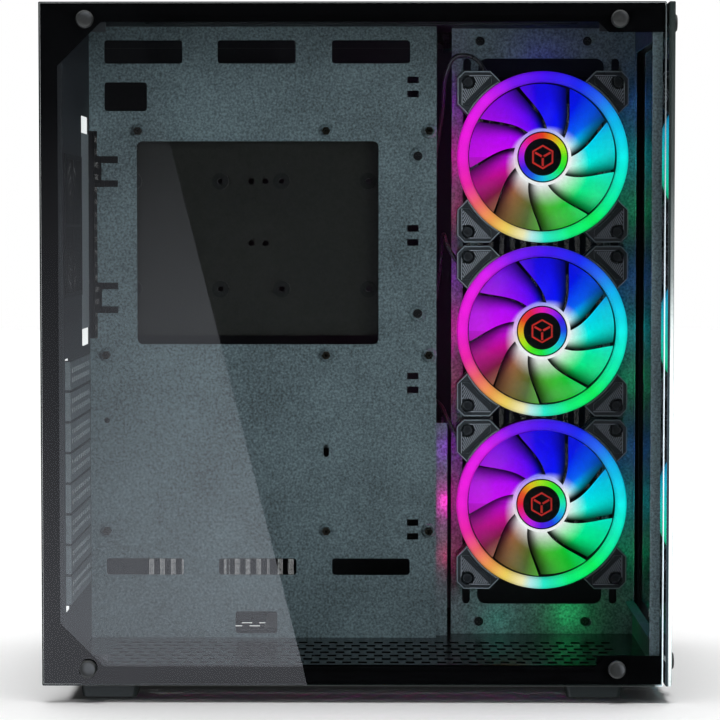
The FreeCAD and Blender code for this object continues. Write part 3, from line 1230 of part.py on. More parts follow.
def io_bezel():
    """Plastic bezel: a plate on the roof, a tray through it, with openings for what it holds."""
    top = window(IO_X - IO_L / 2 - 3, IO_X + IO_L / 2 + 3, IO_Y - IO_W / 2 - 3, IO_Y + IO_W / 2 + 3, BEZEL_Z,
                 BEZEL_TOP, IO_R + 3, "z")
    body = window(IO_X - IO_L / 2, IO_X + IO_L / 2, IO_Y - IO_W / 2, IO_Y + IO_W / 2, ROOF_Z - IO_DEEP, BEZEL_Z,
                  IO_R, "z")
    hollow = window(IO_X - IO_L / 2 + 2, IO_X + IO_L / 2 - 2, IO_Y - IO_W / 2 + 2, IO_Y + IO_W / 2 - 2,
                    ROOF_Z - IO_DEEP - 1, BEZEL_Z - 1.0, IO_R - 2, "z")
    z0 = BEZEL_Z - 2
    z1 = BEZEL_TOP + 1
    cutters = [rod_z(POWER_R + GAP, POWER_X, IO_Y, z0, z1), rod_z(SMALL_R + GAP, RESET_X, IO_Y, z0, z1),
               rod_z(SMALL_R + GAP, MODE_X, IO_Y, z0, z1)]
    cutters += [rod_z(JACK_R + 1.0, x, IO_Y, z0, z1) for x in JACK_XS]
    cutters += [box(x - USB[0] / 2 - 0.8, x + USB[0] / 2 + 0.8, IO_Y - USB[1] / 2 - 0.8, IO_Y + USB[1] / 2 + 0.8,
                    z0, z1) for x in USB_XS]
    return top.fuse(body).cut([hollow] + cutters).fuse(io_pillars()).removeSplitter()


def button(x, r):
    """Round button with a hidden collar under the bezel and a stem to its switch."""
    top = rod_z(r, x, IO_Y, BEZEL_Z - 1.0 - GAP, BEZEL_TOP + BUTTON_T - IO_T)
    edge = [e for e in top.Edges if e.Curve.TypeId == "Part::GeomCircle" and e.BoundBox.ZMin > BEZEL_Z]
    top = top.makeFillet(0.4, edge)
    collar = rod_z(r + 1.2, x, IO_Y, BEZEL_Z - 2.6, BEZEL_Z - 1.0 - GAP)
    stem = rod_z(1.6, x, IO_Y, SWITCH_TOP + BUTTON_STROKE + GAP, BEZEL_Z - 2.6)
    return top.fuse([collar, stem])


SWITCH_TOP = IO_BOARD_Z + BOARD_T + 3.4


def io_board():
    """Circuit board under the bezel, on four corner pillars, with the three switches."""
    plate = box(IO_X - IO_L / 2 + 4, IO_X + IO_L / 2 - 4, IO_Y - IO_W / 2 + 4, IO_Y + IO_W / 2 - 4, IO_BOARD_Z,
                IO_BOARD_Z + BOARD_T)
    return plate.fuse([box(x - 3, x + 3, IO_Y - 3, IO_Y + 3, IO_BOARD_Z + BOARD_T, SWITCH_TOP)
                       for x in (POWER_X, RESET_X, MODE_X)])


def io_pillars():
    """Pillars moulded under the bezel, down to the circuit board."""
    spots = [(IO_X + a * (IO_L / 2 - 6.0), IO_Y + b * (IO_W / 2 - 5.5)) for a in (-1, 1) for b in (-1, 1)]
    return [rod_z(1.8, x, y, IO_BOARD_Z + BOARD_T, BEZEL_Z - 1.0) for x, y in spots]


def usb_socket(x):
    """Metal shell with its tongue."""
    z0 = IO_BOARD_Z + BOARD_T
    z1 = BEZEL_TOP - 0.3
    shell = box(x - USB[0] / 2, x + USB[0] / 2, IO_Y - USB[1] / 2, IO_Y + USB[1] / 2, z0, z1)
    hollow = box(x - USB[0] / 2 + 0.5, x + USB[0] / 2 - 0.5, IO_Y - USB[1] / 2 + 0.5, IO_Y + USB[1] / 2 - 0.5,
                 z0 + 2.0, z1 + 1)
    tongue = box(x + 0.2, x + 2.0, IO_Y - 5.6, IO_Y + 5.6, z0 + 1.0, z1 - 1.0)
    return shell.cut(hollow).fuse(tongue)


def audio_jack(x):
    z0 = IO_BOARD_Z + BOARD_T
    z1 = BEZEL_TOP - 0.3
    barrel = rod_z(JACK_R + 0.8, x, IO_Y, z0, z1)
    return barrel.cut(rod_z(1.8, x, IO_Y, z0 + 2.0, z1 + 1))


def control_panel():
    save("io_bezel", io_bezel())
    save("power_button", button(POWER_X, POWER_R))
    save("reset_button", button(RESET_X, SMALL_R))
    save("light_mode_button", button(MODE_X, SMALL_R))
    save("io_board", io_board())
    save("usb_sockets", *[usb_socket(x) for x in USB_XS])
    save("audio_jacks", *[audio_jack(x) for x in JACK_XS])


# ---- rear chamber: power supply seat and drive cage ------------------------------------------------------------
CAGE_L = 107.0                   # for 3.5-inch drives standing on end
CAGE_T = 1.2
CAGE_X1 = PLATE_X0 - 3.0
CAGE_X0 = CAGE_X1 - CAGE_L
CAGE_H = 152.0
BAY_T = 30.0
BAY_COUNT = 2
CAGE_Y1 = BACK_Y - SHEET - 3.0
CADDY_T = 26.0
CADDY_WALL = 3.0


def drive_cage():
    """Bracket of two cheeks and a back web, standing on the floor behind the tray."""
    y0 = TRAY_BACK + TRAY_RETURN + 2.0
    cheeks = [box(x, x + CAGE_T, y0, CAGE_Y1, FLOOR_Z, FLOOR_Z + CAGE_H) for x in (CAGE_X0, CAGE_X1 - CAGE_T)]
    web = box(CAGE_X0, CAGE_X1, y0, y0 + CAGE_T, FLOOR_Z, FLOOR_Z + CAGE_H)
    hole = window(CAGE_X0 + 14, CAGE_X1 - 14, y0 - 1, y0 + CAGE_T + 1, FLOOR_Z + 18, FLOOR_Z + CAGE_H - 18, 5.0)
    ledges = []
    for k in range(BAY_COUNT):
        y = caddy_y(k) - 1.5 - GAP
        ledges.append(box(CAGE_X0 + CAGE_T, CAGE_X0 + CAGE_T + 2.0, y, y + 1.5, FLOOR_Z, FLOOR_Z + CAGE_H))
        ledges.append(box(CAGE_X1 - CAGE_T - 2.0, CAGE_X1 - CAGE_T, y, y + 1.5, FLOOR_Z, FLOOR_Z + CAGE_H))
    return web.cut(hole).fuse(cheeks + ledges).removeSplitter()


def caddy_y(k):
    return CAGE_Y1 - (BAY_COUNT - k) * BAY_T + 2.0


def drive_caddy(k):
    """Plastic caddy: an open frame with a floor web, a grip and four drive pegs."""
    x0 = CAGE_X0 + CAGE_T + GAP
    x1 = CAGE_X1 - CAGE_T - GAP
    y0 = caddy_y(k)
    z0 = FLOOR_Z
    z1 = FLOOR_Z + CAGE_H - 4.0
    frame = box(x0, x1, y0, y0 + CADDY_T, z0, z1)
    hollow = box(x0 + CADDY_WALL, x1 - CADDY_WALL, y0 + 2.0, y0 + CADDY_T + 1, z0 + CADDY_WALL, z1 - 6.0)
    light = window(x0 + 16, x1 - 16, y0 - 1, y0 + 3, z0 + 20, z1 - 24, 8.0)
    grip = window((x0 + x1) / 2 - 18, (x0 + x1) / 2 + 18, y0 + 6.0, y0 + CADDY_T - 6.0, z1 - 8, z1 + 1, 3.0, "z")
    return frame.cut([hollow, light, grip])


def psu_bracket():
    """Frame outside the rear wall that a power supply is screwed to."""
    x1 = REAR_X
    x0 = x1 - 1.2
    plate = window(x0, x1, PSU_Y, PSU_Y + PSU_W, PSU_Z - 2, PSU_Z + PSU_H + 8, 3.0, "x")
    mouth = window(x0 - 1, x1 + 1, PSU_Y + PSU_FRAME + 3, PSU_Y + PSU_W - PSU_FRAME - 3, PSU_Z + PSU_FRAME + 3,
                   PSU_Z + PSU_H - PSU_FRAME - 3, 3.0, "x")
    holes = [rod_x(M3_R + 0.5, x0 - 1, x1 + 1, y, z) for y, z in psu_holes()]
    return plate.cut([mouth] + holes)


def psu_pads():
    """Rubber strips on the floor under the power supply."""
    xs = (WALL_X + 8.0, WALL_X + 122.0)
    return [box(x, x + 12.0, PSU_Y + 8.0, PSU_Y + PSU_W - 8.0, FLOOR_Z, PSU_Z) for x in xs]


def chassis_screws():
    """Screws of the tray's dimples, the fan bracket, and the drive plate."""
    bolt = screw(3.2, 2.0, M3_R, 6.0)
    made = [placed(bolt, x, TRAY_Y - EMBOSS_H, z) for x, z in dimple_spots()]
    made += [placed(bolt, x, PLATE_Y, z) for x, z in bracket_screw_spots()]
    turned = screw(3.2, 2.0, M3_BORE_R - FIT, 6.0)
    turned.rotate(V(0, 0, 0), V(0, 0, 1), 180)
    made += [placed(turned, x, TRAY_BACK + DRIVE_GAP + DRIVE_T, z) for x, z in stay_spots()]
    return made


def main():
    os.makedirs("parts", exist_ok=True)
    save("side_glass", side_glass())
    save("side_glass_border", side_glass_border())
    save("front_glass", front_glass())
    save("front_glass_border", front_glass_border())
    glass_fixings()
    save("bottom_panel", bottom_panel())
    save("top_panel", top_panel())
    save("rear_panel", rear_panel())
    save("motherboard_tray", motherboard_tray())
    save("motherboard_standoffs", *[standoff(x, z) for x, z in standoff_spots()])
    save("drive_plate", drive_plate())
    save("drive_grommets", *[drive_grommet(x, z) for x, z in drive_spots()])
    save("drive_plate_stays", *[drive_stay(x, z) for x, z in stay_spots()])
    save("fan_bracket", fan_bracket())
    save("front_frame", front_frame())
    save("chassis_screws", *chassis_screws())
    expansion_slots()
    feet()
    save("top_dust_filter", top_dust_filter())
    save("bottom_dust_filter", bottom_dust_filter())
    fans()
    save("fan_controller", fan_controller())
    fan_leads()
    save("right_side_panel", right_side_panel())
    save("panel_thumbscrews", *[thumbscrew(z) for z in THUMB_ZS])
    control_panel()
    save("drive_cage", drive_cage())
    save("drive_caddies", *[drive_caddy(k) for k in range(BAY_COUNT)])
    save("psu_bracket", psu_bracket())
    save("psu_pads", *psu_pads())


main()
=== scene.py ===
"""Looks of the empty dual-chamber desktop computer tower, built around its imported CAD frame.

Metres, in the frame's own axes: +X to the front of the case, -Y to the side glass, +Z up.
"""
import colorsys
import json
import math

import bmesh
import bpy
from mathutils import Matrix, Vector


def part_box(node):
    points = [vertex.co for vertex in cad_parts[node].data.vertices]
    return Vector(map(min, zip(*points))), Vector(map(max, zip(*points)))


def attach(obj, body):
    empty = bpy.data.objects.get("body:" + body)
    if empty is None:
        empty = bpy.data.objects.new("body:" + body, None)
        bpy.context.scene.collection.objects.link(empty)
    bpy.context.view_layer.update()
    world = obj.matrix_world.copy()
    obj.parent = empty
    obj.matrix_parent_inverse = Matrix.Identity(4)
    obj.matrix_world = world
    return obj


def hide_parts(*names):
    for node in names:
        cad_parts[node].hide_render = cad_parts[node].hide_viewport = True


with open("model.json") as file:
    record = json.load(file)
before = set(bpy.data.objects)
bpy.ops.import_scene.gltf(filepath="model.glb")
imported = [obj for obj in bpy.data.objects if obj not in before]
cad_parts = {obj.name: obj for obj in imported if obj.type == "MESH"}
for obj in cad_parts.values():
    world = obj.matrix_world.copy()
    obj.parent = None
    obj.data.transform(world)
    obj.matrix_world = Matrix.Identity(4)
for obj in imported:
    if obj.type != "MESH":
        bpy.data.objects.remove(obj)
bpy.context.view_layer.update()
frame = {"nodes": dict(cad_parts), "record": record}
NODES = frame["nodes"]
MM = 0.001

# ---- places read from the frame -------------------------------------------------------------------
FAN_COUNT = 3


def middle(node):
    low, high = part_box(node)
    return (low + high) / 2


FAN_CENTRES = [middle("fan_%d_light_ring" % (k + 1)) for k in range(FAN_COUNT)]
RING_LOW, RING_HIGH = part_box("fan_1_light_ring")
FAN_R = (RING_HIGH.x - RING_LOW.x) / 2
FAN_FACE = RING_LOW.y
GLASS_LOW, GLASS_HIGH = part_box("side_glass")

# ---- places and sizes that the frame doesn't name --------------------------------------------------
GLASS_FRONT = (0.19, 0.195)             # X range in which a pane's edges begin to glow
KNOCKOUT = ((-0.0135, 0.2370), (0.0310, 0.3718))    # Y and Z of the plate in the connector opening
REAR_VENT = ((0.058, 0.200), (0.108, 0.430))        # Y and Z of the screen behind the rear vents
REAR_GRILLE = ((-0.1125, 0.261), (-0.0185, 0.355))  # Y and Z of the screen behind the rear fan's grille
RING_W = 7.7 * MM                       # width of a fan's lit ring
KNOB_R = 5.65 * MM
KNOB_HEAD = 3.5 * MM
SHANK_R = 1.7 * MM
CARD_LEVEL = 1.7                        # brightness of the window that the side glass mirrors
CAMERA = Vector((0.0147, -1.8335, 0.3086))
AIM = Vector((-0.0001, -0.1335, 0.2220))
LENS = 132.6


# ---- shader trees -----------------------------------------------------------------------------------
def srgb(red, green, blue):
    """Linear colour from 0-255 display values."""
    def linear(v):
        v /= 255.0
        return v / 12.92 if v <= 0.04045 else ((v + 0.055) / 1.055) ** 2.4
    return (linear(red), linear(green), linear(blue), 1.0)


def grey(v):
    return (v, v, v, 1.0)


def scaled(colour, k):
    return tuple(min(1.0, c * k) for c in colour[:3]) + (1.0,)


class Shader:
    """A material's node tree, with short calls that add nodes and link them."""

    def __init__(self, name):
        self.material = bpy.data.materials.new(name)
        self.material.use_nodes = True
        self.tree = self.material.node_tree
        self.tree.nodes.clear()

    def add(self, kind, inputs=None, **settings):
        made = self.tree.nodes.new("ShaderNode" + kind)
        for key, value in settings.items():
            setattr(made, key, value)
        for key, value in (inputs or {}).items():
            if isinstance(value, bpy.types.NodeSocket):
                self.tree.links.new(value, made.inputs[key])
            else:
                made.inputs[key].default_value = value
        return made

    def place(self):
        """Object coordinates: the frame's own metres, at rest."""
        return self.add("TexCoord").outputs["Object"]

    def math(self, operation, a, b=0.0, c=0.0, clamp=False):
        return self.add("Math", {0: a, 1: b, 2: c}, operation=operation, use_clamp=clamp).outputs[0]

    def noise(self, where, size, detail=2.0, roughness=0.5):
        inputs = {"Vector": where, "Scale": 1.0 / size, "Detail": detail, "Roughness": roughness}
        return self.add("TexNoise", inputs).outputs["Fac"]

    def span(self, value, low, high, to_low=0.0, to_high=1.0):
        inputs = {"Value": value, "From Min": low, "From Max": high, "To Min": to_low, "To Max": to_high}
        return self.add("MapRange", inputs).outputs["Result"]

    def blend(self, share, first, second):
        """Mix of two colours."""
        made = self.add("Mix", data_type="RGBA")
        for index, value in ((0, share), (6, first), (7, second)):
            if isinstance(value, bpy.types.NodeSocket):
                self.tree.links.new(value, made.inputs[index])
            else:
                made.inputs[index].default_value = value
        return made.outputs[2]

    def ramp(self, value, stops, interpolation="LINEAR"):
        made = self.add("ValToRGB", {"Fac": value})
        band = made.color_ramp
        band.interpolation = interpolation
        while len(band.elements) < len(stops):
            band.elements.new(1.0)
        for element, (at, colour) in zip(band.elements, sorted(stops)):
            element.position = at
            element.color = colour
        return made.outputs["Color"]

    def bump(self, height, distance, strength=1.0):
        inputs = {"Height": height, "Distance": distance, "Strength": strength}
        return self.add("Bump", inputs).outputs["Normal"]

    def surface(self, **inputs):
        """Principled shader; underscores in the names stand for spaces."""
        named = {key.replace("_", " "): value for key, value in inputs.items()}
        return self.add("BsdfPrincipled", named).outputs["BSDF"]

    def close(self, shader):
        self.add("OutputMaterial", {"Surface": shader})
        return self.material


def coated(name, colour, gloss, grain=0.8, relief=0.05, speckle=0.12, metal=0.0, coat=0.0, sheen=0.0,
           shine=0.5):
    """Paint, moulded plastic or rubber: fine grain in colour, gloss and relief. Grain and relief in mm."""
    s = Shader(name)
    where = s.place()
    fine = s.noise(where, grain * MM, 3.0, 0.6)
    broad = s.noise(where, 45 * MM)
    shade = s.math("ADD", s.math("MULTIPLY", fine, 0.8), s.math("MULTIPLY", broad, 0.2))
    tint = s.blend(s.span(shade, 0.35, 0.65), scaled(colour, 1 - speckle), scaled(colour, 1 + speckle))
    rough = s.span(s.noise(where, 3.5 * grain * MM), 0.3, 0.7, gloss - 0.05, gloss + 0.07)
    return s.close(s.surface(Base_Color=tint, Roughness=rough, Metallic=metal, Coat_Weight=coat,
                             Coat_Roughness=0.12, Sheen_Weight=sheen, Sheen_Roughness=0.4,
                             Specular_IOR_Level=shine, Normal=s.bump(fine, relief * MM)))


def rear_wall(name):
    """Dark powder coat, with the connector knock-out left in bare steel."""
    s = Shader(name)
    where = s.place()
    parts = s.add("SeparateXYZ", {0: where}).outputs
    low, high = KNOCKOUT
    inside = 1.0
    for axis, least, most in (("Y", low[0], high[0]), ("Z", low[1], high[1])):
        for operation, limit in (("GREATER_THAN", least), ("LESS_THAN", most)):
            inside = s.math("MULTIPLY", s.math(operation, parts[axis], limit), inside)
    fine = s.noise(where, 1.2 * MM, 3.0, 0.6)
    dark = s.blend(s.span(fine, 0.35, 0.65), srgb(28, 30, 33), srgb(42, 44, 48))
    bare = s.blend(s.span(fine, 0.35, 0.65), srgb(140, 146, 150), srgb(172, 178, 182))
    return s.close(s.surface(Base_Color=s.blend(inside, dark, bare), Metallic=s.span(inside, 0, 1, 0.2, 0.5),
                             Roughness=s.span(fine, 0.3, 0.7, 0.45, 0.6), Normal=s.bump(fine, 0.08 * MM)))


def brushed(name, colour, gloss, way=(1.0, 1.0, 0.04)):
    """Metal with fine lines drawn out along one axis."""
    s = Shader(name)
    stretched = s.add("VectorMath", {0: s.place(), 1: way}, operation="MULTIPLY").outputs[0]
    lines = s.noise(stretched, 0.35 * MM, 4.0, 0.65)
    tint = s.blend(s.span(lines, 0.3, 0.7), scaled(colour, 0.8), scaled(colour, 1.15))
    rough = s.span(lines, 0.3, 0.7, gloss - 0.06, gloss + 0.08)
    return s.close(s.surface(Base_Color=tint, Roughness=rough, Metallic=1.0,
                             Normal=s.bump(lines, 0.012 * MM)))


def pane_glass(name, axis, tint, edge):
    """Toughened glass: see-through faces with a mirror's share, and ground edges with painted light. Light and dark
    stripes across the thickness are a painted reflection. An emission glow, set by height and shown only near the
    front of the case, is painted in for the fans' light on the edge.
    """
    s = Shader(name)
    coords = s.add("TexCoord")
    where = coords.outputs["Object"]
    normal = s.add("SeparateXYZ", {0: coords.outputs["Normal"]}).outputs[axis]
    is_face = s.span(s.math("ABSOLUTE", normal), 0.88, 0.96)
    clear = s.add("BsdfTransparent", {"Color": tint}).outputs[0]
    smears = s.noise(where, 60 * MM, 3.0)
    mirror = s.add("BsdfAnisotropic", {"Color": (1, 1, 1, 1), "Roughness": s.span(smears, 0.3, 0.8, 0.0, 0.02)})
    share = s.add("Fresnel", {"IOR": 1.45}).outputs[0]
    face = s.add("MixShader", {0: share, 1: clear, 2: mirror.outputs[0]}).outputs[0]
    grind = s.noise(where, 1.2 * MM, 3.0)
    parts = s.add("SeparateXYZ", {0: where}).outputs
    # Painted reflection and painted glow on the ground edges: stripes across the thickness, and a glow by height
    # that shows only near the front.
    painted_edge_bands = s.ramp(s.span(parts[axis], edge[0], edge[1]), [(at, srgb(*colour)) for at, colour in edge[2]])
    lit = s.ramp(s.span(parts["Z"], GLASS_LOW.z, GLASS_HIGH.z), [(at, grey(v)) for at, v in edge[3]])
    lit = s.math("MULTIPLY", lit, s.span(parts["X"], *GLASS_FRONT))
    shade = s.blend(s.span(grind, 0.3, 0.7, 0.0, 0.3), painted_edge_bands, srgb(20, 28, 27))
    ground = s.surface(Base_Color=s.blend(s.math("MULTIPLY", lit, 1.4, clamp=True), srgb(26, 34, 33), shade),
                       Roughness=0.25, Coat_Weight=0.3, Normal=s.bump(grind, 0.01 * MM),
                       Emission_Color=painted_edge_bands, Emission_Strength=lit)
    return s.close(s.add("MixShader", {0: is_face, 1: ground, 2: face}).outputs[0])


def around(s, centre):
    """Angle about a fan's axis as a share of a turn, 0 and 1 at the rear side, and the distance from it."""
    rel = s.add("VectorMath", {0: s.place(), 1: tuple(centre)}, operation="SUBTRACT").outputs[0]
    parts = s.add("SeparateXYZ", {0: rel})
    angle = s.math("ARCTAN2", parts.outputs["Z"], parts.outputs["X"])
    share = s.math("MULTIPLY_ADD", angle, 1 / (2 * math.pi), 0.5)
    flat = s.math("SQRT", s.math("ADD", s.math("MULTIPLY", parts.outputs["X"], parts.outputs["X"]),
                                 s.math("MULTIPLY", parts.outputs["Z"], parts.outputs["Z"])))
    return share, flat, parts.outputs["Y"]


# Colours of the lit ring by direction, in degrees from the front of the case towards its top.
RAINBOW = ((-180, (255, 0, 225)), (-160, (255, 20, 175)), (-145, (255, 100, 110)), (-130, (255, 165, 80)),
           (-116, (255, 222, 100)), (-104, (255, 246, 190)), (-98, (200, 255, 255)), (-89, (40, 245, 215)),
           (-70, (0, 255, 130)), (-50, (0, 255, 100)), (-25, (0, 255, 190)), (0, (0, 255, 250)),
           (28, (0, 190, 255)), (45, (40, 110, 255)), (62, (20, 40, 255)), (88, (70, 0, 255)),
           (112, (130, 10, 255)), (135, (235, 15, 255)), (158, (255, 0, 240)), (180, (255, 0, 225)))


def wheel(s, share, hues):
    return s.ramp(share, [((angle + 180) / 360, srgb(*hue)) for angle, hue in hues])


def ring_light(name, centre):
    """Frosted diffuser over a ring of lamps: even colour, faint hot spots, darker at both rims."""
    s = Shader(name)
    share, flat, _ = around(s, centre)
    colour = wheel(s, share, RAINBOW)
    lamps = s.math("COSINE", s.math("MULTIPLY", share, 2 * math.pi * 24))
    across = s.math("ABSOLUTE", s.span(flat, FAN_R - RING_W, FAN_R, -1.0, 1.0))
    rim = s.span(s.math("POWER", across, 3.0), 0.0, 1.0, 1.0, 0.62)
    level = s.math("MULTIPLY", rim, s.math("MULTIPLY_ADD", lamps, 0.03, 1.0))
    haze = s.noise(s.place(), 0.7 * MM)
    return s.close(s.surface(Base_Color=srgb(22, 23, 26), Roughness=s.span(haze, 0.3, 0.7, 0.32, 0.42),
                             Emission_Color=colour, Emission_Strength=level,
                             Normal=s.bump(haze, 0.01 * MM)))


# Colours of the painted glow on the blades, by the same directions.
BLADE_HUES = ((-180, (200, 0, 225)), (-158, (205, 0, 150)), (-142, (132, 16, 66)), (-130, (165, 104, 70)),
              (-104, (84, 106, 34)), (-92, (88, 180, 50)), (-64, (10, 210, 50)), (-50, (0, 245, 120)),
              (-26, (0, 255, 176)), (-8, (0, 255, 236)), (20, (0, 222, 255)), (36, (6, 100, 255)),
              (58, (0, 20, 255)), (95, (24, 0, 255)), (124, (135, 0, 255)), (150, (188, 0, 255)),
              (180, (222, 0, 255)))


def blade_light(name, centre):
    """Milky blades with a painted glow in place of the light that the hub's and rim's lamps shine through them:
    painted white at the root, with painted shade at the leading edges, towards the blade ends and where one blade
    runs behind the next.
    """
    s = Shader(name)
    share, flat, depth = around(s, centre)
    colour = wheel(s, share, BLADE_HUES)
    # Painted light: the white glow at the blades' root reaches further out on one side of the hub than on the
    # other.
    side = s.math("COSINE", s.math("MULTIPLY_ADD", share, 2 * math.pi, math.radians(180 + 62)))
    reach = s.span(side, -1.0, 1.0, 21 * MM, 37 * MM)
    near_hub = s.add("MapRange", {"Value": flat, "From Min": 19.5 * MM, "From Max": reach, "To Min": 1.0,
                                  "To Max": 0.0}).outputs["Result"]
    white = s.math("MULTIPLY", s.math("POWER", near_hub, 1.6), s.span(side, -1.0, 0.2, 0.35, 1.0))
    lit = s.blend(white, colour, (1, 1, 1, 1))
    # Painted shade: the blades' leading edges at the front are darker, except close to the hub.
    front = s.add("MapRange", {"Value": depth, "From Min": 1.2 * MM, "From Max": 4.5 * MM},
                  interpolation_type="SMOOTHSTEP").outputs["Result"]
    # Painted shade: a blade goes dark where it runs far behind the next one.
    behind_blade_shade = s.add("MapRange", {"Value": depth, "From Min": 9.5 * MM, "From Max": 16.5 * MM, "To Min": 1.0,
                              "To Max": 0.02}, interpolation_type="SMOOTHSTEP").outputs["Result"]
    # Painted shade: the glow fades a little towards the blade ends.
    tip_shade = s.span(flat, 32 * MM, 52 * MM, 1.0, 0.8)
    lead_edge_shade = s.math("MAXIMUM", front, s.span(flat, 22 * MM, 26 * MM, 1.0, 0.15))
    level = s.math("MULTIPLY", s.math("MULTIPLY", behind_blade_shade, lead_edge_shade), tip_shade)
    milk = s.noise(s.place(), 2.5 * MM)
    shade = s.math("MULTIPLY", level, s.span(milk, 0.3, 0.7, 0.94, 1.06))
    return s.close(s.surface(Base_Color=srgb(16, 17, 20), Roughness=s.span(milk, 0.3, 0.7, 0.3, 0.4),
                             Emission_Color=lit, Emission_Strength=shade,
                             Coat_Weight=0.15, Normal=s.bump(milk, 0.02 * MM)))


def hub_light(name, centre, start, way):
    """Thin lit ring on the hub, one turn of the colour wheel from a starting hue."""
    s = Shader(name)
    share = around(s, centre)[0]
    steps = 12
    stops = []
    for k in range(steps + 1):
        red, green, blue = colorsys.hsv_to_rgb((start + way * k / steps) % 1.0, 0.95, 1.0)
        stops.append((k / steps, srgb(255 * red, 255 * green, 255 * blue)))
    colour = s.ramp(share, stops)
    haze = s.noise(s.place(), 0.5 * MM)
    return s.close(s.surface(Base_Color=srgb(24, 24, 26), Roughness=s.span(haze, 0.3, 0.7, 0.3, 0.4),
                             Emission_Color=colour, Emission_Strength=0.85))


def woven(name, colour, pitch, axes, low, high):
    """Filter screen: a plain weave. It is open below the low level of its threads and solid above the high one."""
    s = Shader(name)
    parts = s.add("SeparateXYZ", {0: s.place()})
    turn = 2 * math.pi / (pitch * MM)
    across = s.math("SINE", s.math("MULTIPLY", parts.outputs[axes[0]], turn))
    along = s.math("SINE", s.math("MULTIPLY", parts.outputs[axes[1]], turn))
    thread = s.math("MAXIMUM", across, along)
    solid = s.span(thread, low, high)
    body = s.surface(Base_Color=s.blend(thread, scaled(colour, 0.5), colour), Roughness=0.6,
                     Normal=s.bump(thread, 0.1 * MM))
    gap = s.add("BsdfTransparent").outputs[0]
    return s.close(s.add("MixShader", {0: solid, 1: gap, 2: body}).outputs[0])


def board_green(name):
    """Solder mask over copper lines."""
    s = Shader(name)
    where = s.place()
    grid = s.add("VectorMath", {0: where, 1: (700.0, 1.0, 700.0)}, operation="MULTIPLY").outputs[0]
    lines = s.add("TexVoronoi", {"Vector": grid, "Scale": 1.0}, feature="DISTANCE_TO_EDGE").outputs["Distance"]
    tracks = s.span(lines, 0.04, 0.1, 1.0, 0.0)
    tint = s.blend(tracks, srgb(6, 46, 30), srgb(18, 84, 52))
    return s.close(s.surface(Base_Color=tint, Roughness=0.35, Coat_Weight=0.3,
                             Normal=s.bump(tracks, 0.03 * MM)))


# Painted light on the panes' ground edges: each gives the edge's low and high across the thickness, the colours of
# its painted stripes, and the painted glow's strength by height.
SIDE_EDGE_GLOW = (GLASS_LOW.y, GLASS_HIGH.y,
             ((0.0, (216, 228, 235)), (0.5, (190, 205, 212)), (1.0, (150, 166, 172))),
             ((0.0, 0.9), (0.6, 0.75), (0.85, 0.15), (1.0, 0.05)))
FRONT_LOW, FRONT_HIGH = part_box("front_glass")
FRONT_EDGE_GLOW = (FRONT_LOW.x, FRONT_HIGH.x,
              ((0.0, (40, 50, 58)), (0.3, (24, 34, 40)), (0.38, (120, 132, 138)), (0.5, (240, 250, 250)),
               (0.86, (236, 248, 248)), (1.0, (120, 130, 130))),
              ((0.0, 0.35), (0.1, 0.6), (0.42, 0.7), (0.6, 0.12), (0.75, 0.02), (1.0, 0.0)))

